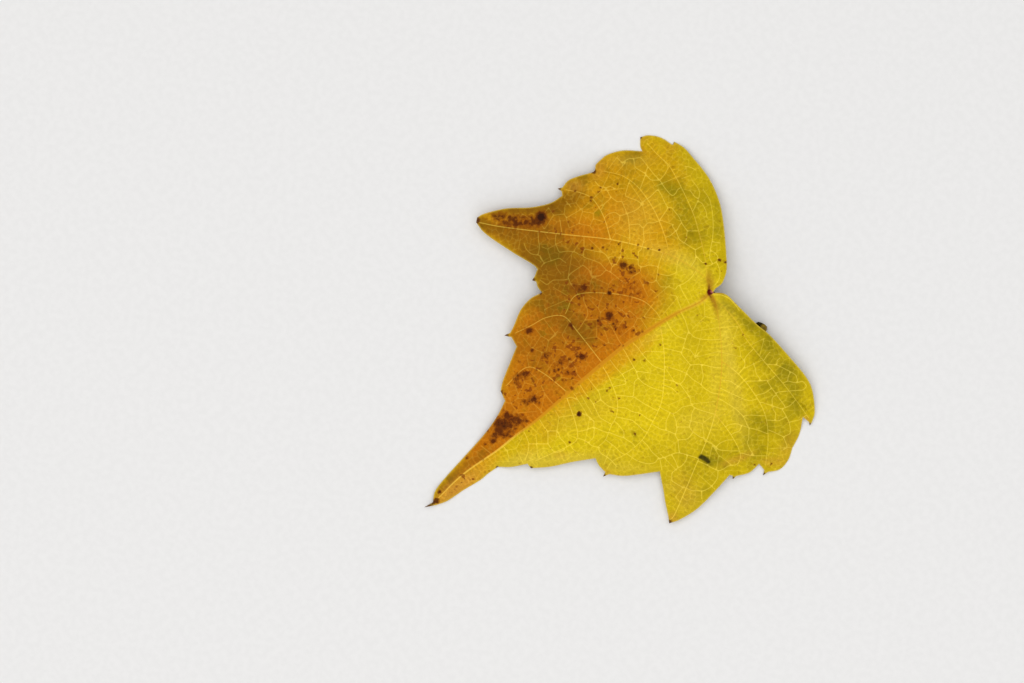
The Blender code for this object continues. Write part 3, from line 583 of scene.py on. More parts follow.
# Brown marks: x, y, radius in quarter millimetres, depth of the brown. The spread is how far
# beyond its radius the brown of a mark fades out.
MARKS = [
    (623, 265, 4.2, 1.0), (609, 315, 4.0, 1.0), (541, 217, 5.5, 1.5), (530, 224, 5.0, 0.6),
    (520, 222, 4.5, 0.6), (510, 219, 4.5, 0.7), (499, 217, 4.5, 0.55), (504, 222, 4.0, 0.45),
    (515, 225, 4.0, 0.5), (536, 221, 4.0, 0.7), (546, 219, 3.0, 0.6), (490, 215, 2.4, 0.4),
    (507, 416, 5.0, 0.75), (514, 418, 4.5, 0.7), (500, 424, 6.5, 0.9), (508, 425, 5.5, 0.8),
    (519, 421, 5.0, 0.7), (526, 421, 3.0, 0.6), (500, 431, 5.0, 0.85), (509, 432, 4.0, 0.7),
    (493, 441, 3.4, 0.85), (485, 444.5, 2.2, 0.7), (495, 434, 4.0, 0.8), (505, 437, 3.0, 0.6),
    (523, 426, 2.6, 0.5), (516, 428, 3.0, 0.5), (529, 331, 4.0, 0.85), (534, 399, 4.0, 0.9),
    (584, 287, 4.5, 0.8), (575, 285, 3.5, 0.6), (588, 285, 3.0, 0.6), (580, 291, 3.2, 0.55),
    (582, 357, 4.0, 0.75), (577, 356, 2.5, 0.6), (546, 356, 3.6, 0.7), (542, 357, 2.4, 0.6),
    (561, 362, 4.0, 0.7), (567, 373, 3.4, 0.7), (609.5, 293, 2.4, 1.3), (579, 414, 2.6, 1.6),
    (631, 267, 3.4, 0.8), (630, 272, 2.4, 0.7), (634, 272, 2.6, 0.8), (615, 258, 2.0, 0.6),
    (620, 279.5, 2.0, 0.6), (627, 288, 1.8, 0.5), (637, 293, 2.0, 0.5), (635, 282, 1.8, 0.5),
    (643, 297, 1.7, 0.5), (642, 332, 1.6, 0.5), (651, 324, 1.6, 0.5), (652, 279, 1.6, 0.5),
    (658, 275, 1.4, 0.5), (592, 248, 1.8, 0.7), (619, 244, 1.9, 0.9), (638, 245, 1.5, 0.9),
    (648, 249, 1.5, 0.8), (659, 250, 1.4, 1.0), (564, 240, 1.8, 0.6), (603, 247.5, 1.6, 0.7),
    (607, 249.5, 1.4, 0.6), (582, 249, 1.4, 0.5), (581.5, 252, 1.2, 0.5), (598, 321, 2.2, 0.7),
    (601, 325, 2.4, 0.7), (613, 324, 2.0, 0.7), (615, 329, 2.0, 0.7), (625.5, 327, 2.2, 0.7),
    (633, 331, 2.4, 0.7), (604, 344, 2.2, 0.6), (592.5, 334, 1.8, 0.6), (594.5, 292, 1.9, 0.6),
    (579, 298, 2.0, 0.6), (570.5, 325, 2.6, 1.0), (572.5, 328, 2.0, 0.8), (532, 350.5, 2.6, 0.8),
    (569, 359, 2.4, 0.7), (554.5, 371, 2.6, 0.8), (558, 369.5, 2.2, 0.7), (574, 371, 2.0, 0.6),
    (573, 378, 1.8, 0.6), (563, 380, 1.8, 0.6), (524, 374, 3.2, 0.75), (527, 373.5, 2.6, 0.7),
    (514, 383, 2.4, 0.6), (518, 379, 2.2, 0.6), (518, 375, 2.2, 0.6), (539, 403, 2.4, 0.7),
    (525, 401, 2.2, 0.7), (557, 392, 2.0, 0.6), (528.5, 391, 1.8, 0.6), (571, 389, 2.2, 0.7),
    (570, 418, 1.2, 0.5), (513, 402, 1.8, 0.6), (519, 362, 1.8, 0.6), (578, 349, 2.6, 0.7),
    (568, 340, 1.8, 0.5), (593, 395, 1.6, 0.5), (613, 397, 1.4, 0.5), (607, 391, 1.4, 0.5),
    (611, 411, 1.4, 0.5), (613, 412, 1.2, 0.5), (623, 346, 1.4, 0.6), (634, 360, 1.8, 0.7),
    (644, 360.5, 1.8, 0.7), (660, 345, 1.4, 0.6), (672, 376, 1.4, 0.5), (697, 315.5, 1.4, 0.5),
    (742.5, 334.5, 1.4, 0.5), (732, 343, 1.4, 0.5), (736, 348, 1.4, 0.5), (741, 352, 1.4, 0.5),
    (677, 391.5, 1.3, 0.5), (677, 385, 1.2, 0.4), (684, 418, 1.2, 0.4), (669, 450, 1.2, 0.4),
    (755, 465, 1.6, 0.6), (772, 464, 1.6, 0.7), (762, 422, 1.2, 0.4), (553, 212, 2.4, 0.5),
    (574, 230, 1.8, 0.6), (589, 233, 1.6, 0.5), (591, 197, 1.8, 0.7), (591, 201, 1.6, 0.7),
    (575, 191, 2.0, 0.7), (598, 192, 1.8, 0.7), (600, 187.5, 1.6, 0.7), (617.5, 184, 1.6, 0.7),
    (669.5, 210, 1.4, 0.4), (705, 264, 1.6, 0.7), (719, 260, 2.2, 0.9), (725, 262, 1.8, 0.8),
    (456.5, 487, 1.6, 0.6), (454, 490, 1.4, 0.6), (451.5, 493, 1.4, 0.6), (470, 480, 1.6, 0.5),
    (485, 472, 1.4, 0.4), (489, 471, 1.4, 0.4), (439, 492, 2.2, 0.8), (436, 501, 3.4, 0.9),
    (544, 419, 1.2, 0.4), (560, 421, 1.2, 0.4), (569.5, 442.5, 1.6, 0.8), (635, 434, 1.5, 0.7),
    (467, 458, 2.4, 0.6), (708, 467, 1.4, 0.4),
]
MARK_SPREAD = 1.35

# The one angular dark patch: its corners in quarter millimetres, and its soft rim and fading.
DARK_PATCH = [
    (698, 458), (700.5, 453.5), (705, 455), (710, 457.5), (713, 462.5), (709, 465.5), (703, 461.5),
]
PATCH_RIM = 0.6
PATCH_FADING = 0.7

# Width of the step from the midrib's upper side to its lower side.
MIDRIB_RIM = 0.7

# The fine strokes beside the ribs: how far they shift from rib to rib, how close they stand
# along a rib and how far they stray.
STROKE_SHIFT = 31.7
STROKE_RATE = 5.7
STROKE_STRAY = 7.0

# Heights of the fine relief on the blade's and the petiole's skin.
SKIN_BUMP = 0.12
STALK_BUMP = 0.1

# The surface's size in metres; the lights, each with its name, place and size in metres, and
# power in watts; and the strength of the light all round.
FLOOR_SIZE = 4.0
LIGHTS = [("soft_top", (0.15, 0.1, 1.6), 2.2, 20.5), ("soft_left", (-1.3, 0.6, 0.9), 1.2, 5.0)]
ROOM_LIGHT = 0.42

# The picture on the sheet in quarter millimetres, and the camera straight above it.
PICTURE_WIDTH = 1024
PICTURE_MIDDLE = (512.0, 341.5)
CAMERA_DISTANCE = 1500.0
CAMERA_SENSOR = 36.0
CAMERA_FAR = 20000.0
BLADE_LEVEL = 4.0


def srgb(red, green, blue):
    """A colour given as 0 to 255 on a screen, as linear light with alpha."""
    steps = [value / 255.0 for value in (red, green, blue)]
    return tuple(step / 12.92 if step < 0.04045 else ((step + 0.055) / 1.055) ** 2.4
                 for step in steps) + (1.0,)


def catmull_rom(points, step):
    """Samples a smooth curve through the points, about one sample each step, ends included."""
    ends_doubled = [2 * points[0] - points[1]] + list(points) + [2 * points[-1] - points[-2]]
    samples = [points[0]]
    for before, start, end, after in zip(ends_doubled, ends_doubled[1:],
                                         ends_doubled[2:], ends_doubled[3:]):
        count = max(1, round(float(np.linalg.norm(end - start)) / step))
        for index in range(1, count + 1):
            t = index / count
            samples.append(0.5 * (2 * start + (end - before) * t
                                  + (2 * before - 5 * start + 4 * end - after) * t ** 2
                                  + (3 * start - before - 3 * end + after) * t ** 3))
    return np.array(samples)


def edge_loop(step):
    """The closed edge of the blade, corners kept sharp and the runs between them smooth."""
    loop = []
    corner = np.array(EDGE_START)
    for run in EDGE_RUNS:
        knots = [corner] + [np.array(point) for point in run]
        loop += list(catmull_rom(knots, step)[:-1])
        corner = knots[-1]
    return np.array(loop)


def closed(loop):
    """The loop with its first point once more at its end."""
    return np.vstack([loop, loop[:1]])


def rib_courses(step):
    """Smooth courses of all ribs; a side rib starts on a point of the rib that it leaves."""
    courses = [catmull_rom([np.array(p) for p in rib[0]], step) for rib in MAIN_RIBS]
    parents = np.vstack(courses)
    for rib in SIDE_RIBS:
        knots = [np.array(p) for p in rib[0]]
        knots[0] = parents[np.argmin(np.linalg.norm(parents - knots[0], axis=1))]
        courses.append(catmull_rom(knots, step))
    return courses


def on_sheet(values):
    """Places in millimetres from a run of x, y in quarter millimetres."""
    places = (np.array(values, float).reshape(-1, 2) - JOINT_ON_SHEET) * SHEET_STEP
    return places * (1.0, -1.0)


def nearest_on(place, course):
    """The point of the course that is nearest to the place, and its distance."""
    start = course[:-1]
    along = course[1:] - start
    share = np.clip(((place - start) * along).sum(axis=1) / (along ** 2).sum(axis=1), 0.0, 1.0)
    feet = start + share[:, None] * along
    gap = np.linalg.norm(feet - place, axis=1)
    return feet[np.argmin(gap)], float(gap.min())


def led_on(place, before, others):
    """The point of another vein that an end touches or that lies close ahead of it, if any."""
    heading = (place - before) / np.linalg.norm(place - before)
    feet = sorted((nearest_on(place, other) for other in others), key=lambda found: found[1])
    if feet[0][1] < TOUCH_REACH:
        return [feet[0][0]] if feet[0][1] > SAME_PLACE else []
    for foot, gap in feet:
        if gap < JOIN_REACH and (foot - place) @ heading > STRAIGHT_AHEAD * gap:
            return [foot]
    return []


def vein_courses(ribs):
    """Courses of the finer veins; an end that stops just short of another vein is led to it."""
    runs = [on_sheet(run) for run in FINE_VEINS]
    joined = []
    for number, run in enumerate(runs):
        others = ribs + runs[:number] + runs[number + 1:]
        knots = led_on(run[0], run[1], others) + list(run) + led_on(run[-1], run[-2], others)
        parts = [divided(np.array(pair), VEIN_STEP) for pair in zip(knots, knots[1:])]
        course = np.vstack([parts[0]] + [part[1:] for part in parts[1:]])
        course[1:-1] = 0.25 * course[:-2] + 0.5 * course[1:-1] + 0.25 * course[2:]
        joined.append(course)
    return joined


def gaps(points, courses, reach):
    """For each point the distance to the nearest course within reach, and its share passed."""
    best = np.full(len(points), reach)
    passed = np.zeros(len(points))
    owner = np.full(len(points), -1)
    for number, course in enumerate(courses):
        low = course.min(axis=0) - reach
        high = course.max(axis=0) + reach
        near = np.where(((points > low) & (points < high)).all(axis=1))[0]
        steps = np.linalg.norm(np.diff(course, axis=0), axis=1)
        travelled = np.concatenate([[0.0], np.cumsum(steps)])
        for index, start in enumerate(course[:-1]):
            along = course[index + 1] - start
            middle = start + along / 2
            span = reach + steps[index] / 2
            close = near[(np.abs(points[near] - middle) < span).all(axis=1)]
            if not len(close) or steps[index] == 0.0:
                continue
            offset = points[close] - start
            share = np.clip(offset @ along / (along @ along), 0.0, 1.0)
            gap = np.linalg.norm(offset - share[:, None] * along, axis=1)
            better = gap < best[close]
            chosen = close[better]
            best[chosen] = gap[better]
            passed[chosen] = (travelled[index] + share[better] * steps[index]) / travelled[-1]
            owner[chosen] = number
    return best, passed, owner


def inside_loop(points, loop):
    """True for each point that lies within the closed loop."""
    inside = np.zeros(len(points), bool)
    for start, end in zip(loop, np.roll(loop, -1, axis=0)):
        spans = (start[1] > points[:, 1]) != (end[1] > points[:, 1])
        rise = end[1] - start[1]
        if abs(rise) > 0.0:
            crossing = start[0] + (points[:, 1] - start[1]) * (end[0] - start[0]) / rise
            inside ^= spans & (points[:, 0] < crossing)
    return inside


def plate_bend(points, knots):
    """The thin plate's bending term between each point and each knot."""
    squares = ((points[:, None, :] - knots[None, :, :]) ** 2).sum(axis=2)
    return 0.5 * squares * np.log(squares + NEARLY_ZERO)


def plate_height(points):
    """The thin plate through the given heights."""
    knots = np.array([place for place, height in BLADE_HEIGHTS])
    heights = np.array([height for place, height in BLADE_HEIGHTS])
    count = len(knots)
    system = np.zeros((count + 3, count + 3))
    system[:count, :count] = plate_bend(knots, knots)
    flat = np.column_stack([np.ones(count), knots])
    system[:count, count:] = flat
    system[count:, :count] = flat.T
    weights = np.linalg.solve(system, np.concatenate([heights, np.zeros(3)]))
    return plate_bend(points, knots) @ weights[:-3] + weights[-3] + points @ weights[-2:]


def blade_middle(points, loop, to_rib):
    """Height of the middle of the solid's blade at each point."""
    to_edge, round_edge, _ = gaps(points, [closed(loop)], 3 * MARGIN_WAVE_REACH)
    edge_length = float(np.linalg.norm(np.diff(closed(loop), axis=0), axis=1).sum())
    bulge = BULGE_HEIGHT * (1.0 - np.exp(-(to_rib / BULGE_REACH) ** 2))
    wave = np.sin(math.tau * round_edge * round(edge_length / MARGIN_WAVE_LENGTH))
    wave *= MARGIN_WAVE_HEIGHT * np.exp(-(to_edge / MARGIN_WAVE_REACH) ** 2)
    return np.maximum(plate_height(points) + bulge + wave, SOLID_THICKNESS / 2)


def honeycomb(low, high, step):
    """Points of an even triangular field over the box between low and high."""
    rows = []
    for number, y in enumerate(np.arange(low[1], high[1], step * math.sqrt(3.0) / 2.0)):
        x = np.arange(low[0] + 0.5 * step * (number % 2), high[0], step)
        rows.append(np.column_stack([x, np.full(len(x), y)]))
    return np.vstack(rows)


def turn_of(a, b, c):
    """Twice the area of each triangle a, b, c: above zero where it turns to the left."""
    return ((b[..., 0] - a[..., 0]) * (c[..., 1] - a[..., 1])
            - (b[..., 1] - a[..., 1]) * (c[..., 0] - a[..., 0]))


def crossed(starts, ends, course):
    """True for each straight link that crosses the course."""
    hit = np.zeros(len(starts), bool)
    for first, last in zip(course[:, None], course[1:, None]):
        hit |= (((turn_of(first, last, starts) > 0) != (turn_of(first, last, ends) > 0))
                & ((turn_of(starts, ends, first) > 0) != (turn_of(starts, ends, last) > 0)))
    return hit


def net_courses(loop, courses, cell):
    """Short links of a net, none of them across a vein, and the middles of the net's cells."""
    draw = np.random.default_rng(NET_SEED)
    seeds = honeycomb(loop.min(axis=0), loop.max(axis=0), cell)
    seeds = seeds + draw.normal(0.0, SEED_STRAY * cell, seeds.shape)
    seeds = seeds[inside_loop(seeds, loop)]
    clearance = gaps(seeds, courses + [closed(loop)], SEED_REACH)[0]
    seeds = seeds[clearance > SEED_CLEARANCE * cell]
    verts, _, faces, _, _, _ = delaunay_2d_cdt([Vector(p) for p in seeds], [], [], 0, WELD)
    corners = np.array([tuple(v) for v in verts])[np.array(faces)]
    a, b, c = corners[:, 0], corners[:, 1], corners[:, 2]
    twice = 2 * turn_of(a, b, c)
    bb = ((b - a) ** 2).sum(axis=1)
    cc = ((c - a) ** 2).sum(axis=1)
    centres = a + np.column_stack([(c[:, 1] - a[:, 1]) * bb - (b[:, 1] - a[:, 1]) * cc,
                                   (b[:, 0] - a[:, 0]) * cc - (c[:, 0] - a[:, 0]) * bb]) \
        / twice[:, None]
    owners = {}
    for number, face in enumerate(faces):
        for start, end in zip(face, face[1:] + face[:1]):
            owners.setdefault((min(start, end), max(start, end)), []).append(number)
    pairs = [(edge, both) for edge, both in owners.items() if len(both) == 2]
    starts = centres[[both[0] for _, both in pairs]]
    ends = centres[[both[1] for _, both in pairs]]
    left = np.array([tuple(verts[edge[0]]) for edge, _ in pairs])
    right = np.array([tuple(verts[edge[1]]) for edge, _ in pairs])
    lengths = np.linalg.norm(ends - starts, axis=1)
    keep = (lengths < LONGEST_LINK * cell) & (lengths > SHORTEST_LINK)
    keep &= inside_loop(starts, loop) & inside_loop(ends, loop)
    for course in courses:
        keep &= ~crossed(left, right, course)
    return [np.array([start, end]) for start, end in zip(starts[keep], ends[keep])], seeds


def divided(link, step):
    """A straight link split into even steps."""
    count = max(1, round(float(np.linalg.norm(link[1] - link[0])) / step))
    return link[0] + (link[1] - link[0]) * np.linspace(0.0, 1.0, count + 1)[:, None]


def search_tree(places):
    """A tree that finds the nearest of the flat places."""
    tree = KDTree(len(places))
    for index, place in enumerate(places):
        tree.insert((place[0], place[1], 0.0), index)
    tree.balance()
    return tree


def cell_tones(points, middles):
    """A random tone from 0 to 1 for each point, the same all over one cell of the net."""
    tree = search_tree(middles)
    tones = np.random.default_rng(NET_SEED).random(len(middles))
    return np.array([tones[tree.find((x, y, 0.0))[1]] for x, y in points])


def flat_mesh(loop, lines):
    """Splits the flat blade into triangles along its edge and veins, with a point in each mark."""
    points = [Vector(p) for p in loop]
    outline = list(range(len(points)))
    known = {}
    edges = []
    for line in lines:
        indices = []
        for place in line:
            key = (round(place[0], 3), round(place[1], 3))
            if key not in known:
                known[key] = len(points)
                points.append(Vector(place))
            indices.append(known[key])
        edges += [pair for pair in zip(indices, indices[1:]) if pair[0] != pair[1]]
    points += [Vector(on_sheet((x, y))[0]) for x, y, _, _ in MARKS]
    tree = search_tree(points)
    field = honeycomb(loop.min(axis=0), loop.max(axis=0), FIELD_STEP)
    field = field[inside_loop(field, loop)]
    field = [p for p in field if tree.find((p[0], p[1], 0.0))[2] > CLEAR_OF_LINE]
    points += [Vector(p) for p in field]
    verts, _, faces, _, _, _ = delaunay_2d_cdt(points, edges, [outline], 1, WELD)
    return np.array([tuple(v) for v in verts]), faces


def turned(points):
    """Turns flat points of the tracing so that the midrib runs along +Y."""
    angle = math.pi / 2 - MIDRIB_HEADING
    spin = np.array([[math.cos(angle), -math.sin(angle)], [math.sin(angle), math.cos(angle)]])
    return points @ spin.T


def centre_shift():
    """How far the turned tracing moves so that the leaf's box is centred, as in the solid."""
    placed = turned(edge_loop(SOLID_EDGE_STEP))
    low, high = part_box("leaf")
    target = np.array([low[0] + high[0], low[1] + high[1]]) / (2 * MM)
    return target - (placed.min(axis=0) + placed.max(axis=0)) / 2


SHIFT = centre_shift()


def tapered(wide, narrow, passed):
    """A value that goes evenly from wide at the start to narrow at the end."""
    return wide + (narrow - wide) * passed


def rib_relief(points, courses):
    """Height of the ribs underneath, and distance beyond their line on the upper face."""
    height = np.zeros(len(points))
    beyond = np.full(len(points), LINE_REACH)
    for course, rib in zip(courses, MAIN_RIBS + [rib + SIDE_LINE for rib in SIDE_RIBS]):
        _, wide, tall, line_start, line_end = rib
        gap, passed, _ = gaps(points, [course], RIB_REACH)
        crest = tapered(tall, RIB_END_HEIGHT, passed)
        ridge = np.clip(1.0 - gap / tapered(wide, RIB_END_WIDTH, passed), 0.0, 1.0)
        height = np.maximum(height, crest * ridge)
        beyond = np.minimum(beyond, gap - tapered(line_start, line_end, passed))
    return height, beyond


def tint(points, patches):
    """How strongly a tint shows at each point, from its soft patches."""
    left = np.ones(len(points))
    for x, y, long, wide, turn, strength in patches:
        offset = points - on_sheet((x, y))[0]
        angle = math.radians(turn)
        along = offset @ (math.cos(angle), math.sin(angle)) / (long * SHEET_STEP)
        across = offset @ (-math.sin(angle), math.cos(angle)) / (wide * SHEET_STEP)
        left *= 1.0 - strength * np.exp(-(along ** 2 + across ** 2) ** TINT_STEEPNESS)
    return 1.0 - left


def mark_depth(points):
    """How far inside a brown mark each point is: its strength at its middle, 0 at its rim."""
    depth = np.zeros(len(points))
    for x, y, radius, strength in MARKS:
        gap = np.linalg.norm(points - on_sheet((x, y))[0], axis=1) / (radius * SHEET_STEP)
        depth = np.maximum(depth, strength * np.clip(MARK_SPREAD - gap, 0.0, 1.0))
    return depth


def bristle_depth(points):
    """How far inside the dark of a tooth's bristle each point is."""
    depth = np.zeros(len(points))
    for x, y, reach in BRISTLES:
        gap = np.linalg.norm(points - (x, y), axis=1)
        depth = np.maximum(depth, np.clip(1.0 - gap / reach, 0.0, 1.0))
    return depth


def above_midrib(points, midrib):
    """1 on the upper side of the midrib, 0 on its lower side, in a narrow step."""
    signed = np.zeros(len(points))
    best = np.full(len(points), np.inf)
    for start, end in zip(midrib, midrib[1:]):
        along = end - start
        length = float(np.linalg.norm(along))
        offset = points - start
        share = np.clip(offset @ along / length ** 2, 0.0, 1.0)
        gap = np.linalg.norm(offset - share[:, None] * along, axis=1)
        side = (offset[:, 0] * along[1] - offset[:, 1] * along[0]) / length
        closer = gap < best
        best[closer] = gap[closer]
        signed[closer] = side[closer]
    return np.clip(0.5 + signed / MIDRIB_RIM, 0.0, 1.0)


def deselect_all():
    """Leaves nothing selected and nothing active."""
    for thing in bpy.context.view_layer.objects:
        thing.select_set(False)
    bpy.context.view_layer.objects.active = None


def make_active(thing):
    """Selects one object alone and makes it the active one."""
    deselect_all()
    thing.select_set(True)
    bpy.context.view_layer.objects.active = thing


def add_attribute(mesh, name, values):
    """Stores one value for each vertex."""
    layer = mesh.attributes.new(name, "FLOAT", "POINT")
    layer.data.foreach_set("value", np.asarray(values, np.float32))


def add_looks(mesh, flat, ribs):
    """Stores on the sheet what its skin is painted from, apart from the veins."""
    upper = above_midrib(flat, ribs[0])
    for name, patches in TINTS.items():
        amount = tint(flat, patches)
        # Orange, ochre and scorch show only above the midrib; there the orange and ochre are
        # partly painted shade of a second leaf under that half.
        if name in ("orange", "ochre", "scorch"):
            amount = amount * upper
        add_attribute(mesh, name, amount)
    add_attribute(mesh, "mark", mark_depth(flat))
    add_attribute(mesh, "bristle", bristle_depth(flat))
    patch = on_sheet(DARK_PATCH)
    to_rim = gaps(flat, [closed(patch)], PATCH_REACH)[0]
    in_patch = to_rim * np.where(inside_loop(flat, patch), 1.0, -1.0)
    fading = np.clip((flat[:, 0] - patch[:, 0].min()) / np.ptp(patch[:, 0]), 0.0, 1.0)
    amount = np.clip(0.5 + in_patch / PATCH_RIM - PATCH_FADING * fading, 0.0, 1.0)
    add_attribute(mesh, "patch", amount)
    add_attribute(mesh, "from_joint", np.linalg.norm(flat, axis=1))
    add_attribute(mesh, "to_midrib", gaps(flat, [ribs[0]], RIB_REACH)[0])
    lengths = np.array([np.linalg.norm(np.diff(rib, axis=0), axis=1).sum() for rib in ribs])
    _, passed, owner = gaps(flat, ribs, STROKE_REACH)
    add_attribute(mesh, "along_rib", passed * lengths[owner] + STROKE_SHIFT * owner)


def thicken(blade, thickness):
    """Gives the sheet its thickness in millimetres at each point, all of it downwards."""
    make_active(blade)
    group = blade.vertex_groups.new(name="thickness")
    deepest = float(thickness.max())
    for index, value in enumerate(thickness / deepest):
        group.add([index], float(value), "REPLACE")
    solid = blade.modifiers.new("thickness", "SOLIDIFY")
    solid.thickness = deepest * MM
    solid.offset = -1.0
    solid.vertex_group = group.name
    bpy.ops.object.modifier_apply(modifier=solid.name)
    blade.vertex_groups.clear()


def keep_in_box(mesh):
    """Holds the mesh inside the solid's box and just above the surface; returns its points."""
    places = np.zeros(len(mesh.vertices) * 3, np.float32)
    mesh.vertices.foreach_get("co", places)
    low, high = (np.array(corner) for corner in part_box("leaf"))
    low[2] = FLOOR_CLEARANCE * MM
    places = np.clip(places.reshape(-1, 3), low, high).astype(np.float32)
    mesh.vertices.foreach_set("co", places.ravel())
    mesh.update()
    return places


def blade_faces(flat, loop, ribs, to_vein, to_net, to_edge):
    """Heights of the upper face, thickness under it, and distance beyond the ribs' lines."""
    to_rib = gaps(flat, ribs, 4 * BULGE_REACH)[0]
    ridge, beyond = rib_relief(flat, ribs)
    base = blade_middle(flat, loop, to_rib) - SOLID_THICKNESS / 2
    thin = 1.0 - MARGIN_THINNING * np.exp(-(to_edge / MARGIN_REACH) ** 2)
    to_any = np.minimum(to_vein, beyond + RIB_SHOULDER)
    pillow = PILLOW_HEIGHT * (1.0 - np.exp(-(to_any / PILLOW_REACH) ** 2))
    pillow += DIMPLE_HEIGHT * (1.0 - np.exp(-(to_net / DIMPLE_REACH) ** 2))
    groove = GROOVE_DEPTH * np.clip(1.0 - np.maximum(beyond, 0.0) / GROOVE_REACH, 0.0, 1.0) * thin
    cord = CORD_HEIGHT * np.clip(1.0 - to_vein / CORD_REACH, 0.0, 1.0)
    cord += THREAD_HEIGHT * np.clip(1.0 - to_net / THREAD_REACH, 0.0, 1.0)
    under = base - ridge
    top = base + SKIN_THICKNESS * thin + pillow * thin - groove
    lift = np.maximum(0.0, -under)
    thickness = np.maximum(top - under + cord - PILLOW_BELOW * pillow - lift, THINNEST)
    return top, thickness, beyond


def make_blade():
    """The blade: a fine waved sheet that follows every vein, thickened downwards."""
    loop = edge_loop(EDGE_STEP)
    ribs = rib_courses(RIB_STEP)
    traced = vein_courses(ribs)
    coarse, coarse_cells = net_courses(loop, ribs + traced, NET_CELLS[0])
    coarse = [divided(link, VEIN_STEP) for link in coarse]
    fine, fine_cells = net_courses(loop, ribs + traced + coarse, NET_CELLS[1])
    lines = ribs + traced + coarse + [divided(link, VEIN_STEP) for link in fine]
    flat, faces = flat_mesh(loop, lines)
    to_traced = gaps(flat, traced, VEIN_REACH)[0]
    to_vein = np.minimum(to_traced, gaps(flat, coarse, VEIN_REACH)[0])
    to_net = gaps(flat, fine, NET_REACH)[0]
    to_edge = gaps(flat, [closed(loop)], EDGE_REACH)[0]
    top, thickness, beyond = blade_faces(flat, loop, ribs, to_vein, to_net, to_edge)

    placed = turned(flat) + SHIFT
    mesh = bpy.data.meshes.new("leaf_blade")
    mesh.from_pydata([Vector((x, y, z)) * MM for (x, y), z in zip(placed, top)], [], faces)
    blade = bpy.data.objects.new("leaf_blade", mesh)
    bpy.context.scene.collection.objects.link(blade)
    for name, values in (("beyond_rib", beyond), ("to_vein", to_vein), ("to_traced", to_traced),
                         ("to_net", to_net), ("to_edge", to_edge),
                         ("cell_tone", cell_tones(flat, fine_cells)),
                         ("wide_tone", cell_tones(flat, coarse_cells))):
        add_attribute(mesh, name, values)
    add_looks(mesh, flat, ribs)

    thicken(blade, thickness)
    mesh = blade.data
    places = keep_in_box(mesh)
    add_attribute(mesh, "underside", np.arange(len(places)) >= len(flat))
    make_active(blade)
    bpy.ops.object.shade_smooth_by_angle(angle=BLADE_SMOOTHING)
    return blade


def draw_stalk(stations):
    """A round stalk through the stations, each a centre and a radius in millimetres."""
    deselect_all()
    bpy.ops.curve.primitive_nurbs_path_add(location=(0.0, 0.0, 0.0))
    stalk = bpy.context.active_object
    stalk.name = "leaf_petiole"
    curve = stalk.data
    curve.splines.clear()
    spline = curve.splines.new("POLY")
    spline.points.add(len(stations) - 1)
    for point, (centre, radius) in zip(spline.points, stations):
        point.co = (*(centre * MM), 1.0)
        point.radius = radius * MM
    curve.bevel_depth = 1.0
    curve.bevel_resolution = STALK_ROUNDNESS
    curve.use_fill_caps = True
    bpy.ops.object.convert(target="MESH")
    stalk = bpy.context.active_object
    stalk.data.name = "leaf_petiole"
    return stalk


def shape_cut(mesh, end):
    """Welds the stalk and cuts rings into the flat cap at its end, given in metres."""
    bpy.ops.object.mode_set(mode="EDIT")
    bpy.ops.mesh.select_all(action="SELECT")
    bpy.ops.mesh.remove_doubles(threshold=STALK_WELD * MM)
    bpy.ops.mesh.normals_make_consistent(inside=False)
    bpy.ops.mesh.select_all(action="DESELECT")
    bpy.ops.object.mode_set(mode="OBJECT")
    for face in mesh.polygons:
        close = (face.center - end).length < CUT_REACH * MM
        face.select = close and len(face.vertices) > SIDE_FACE_CORNERS
    bpy.ops.object.mode_set(mode="EDIT")
    for inset, rise in CUT_RINGS:
        bpy.ops.mesh.inset(thickness=inset * MM, depth=rise * MM)
    bpy.ops.object.mode_set(mode="OBJECT")


def make_petiole():
    """The petiole: a tapering round stalk drawn along its course, with a knob and a cut end."""
    knots = [np.array(place + (radius,)) for place, radius in PETIOLE_COURSE]
    line = catmull_rom(knots, STALK_STEP)
    centres = np.column_stack([turned(line[:, :2]) + SHIFT, line[:, 2]])
    radii = line[:, 3]
    along = centres[1] - centres[0]
    along /= np.linalg.norm(along)
    stations = [(centres[0] + along * rise, radii[0] * share) for rise, share in STALK_TOP]
    stalk = draw_stalk(stations + list(zip(centres, radii)))
    mesh = stalk.data
    shape_cut(mesh, Vector(centres[-1] * MM))
    places = np.zeros(len(mesh.vertices) * 3)
    mesh.vertices.foreach_get("co", places)
    places = places.reshape(-1, 3) / MM
    nearest = np.array([np.argmin(np.linalg.norm(centres - place, axis=1)) for place in places])
    add_attribute(mesh, "along", nearest / (len(centres) - 1))
    outward = places - centres[nearest]
    reach = np.linalg.norm(outward, axis=1)
    turn = np.arctan2(outward[:, 2], outward[:, 0] + outward[:, 1])
    sway = RIDGE_SWAY * np.sin(nearest * RIDGE_SWAY_RATE)
    ridges = RIDGE_DEPTH * np.cos(RIDGE_COUNT * turn + sway) - RIDGE_DEPTH
    side = reach > SIDE_SHARE * radii[nearest]
    places[side] += outward[side] / reach[side, None] * ridges[side, None]
    add_attribute(mesh, "ring", reach / radii[nearest])
    # Where the pink highlight is painted on the knob's top.
    to_gleam = places[:, :2] - turned(np.array([KNOB_GLEAM]))[0] - SHIFT
    gleam = KNOB_GLEAM_EDGE - np.linalg.norm(to_gleam, axis=1) / KNOB_GLEAM_REACH
    gleam = np.clip(gleam, 0.0, 1.0) * (places[:, 2] > KNOB_GLEAM_FLOOR)
    add_attribute(mesh, "gleam", gleam)
    mesh.vertices.foreach_set("co", (places * MM).ravel())
    mesh.update()
    make_active(stalk)
    bpy.ops.object.shade_smooth_by_angle(angle=STALK_SMOOTHING)
    return stalk


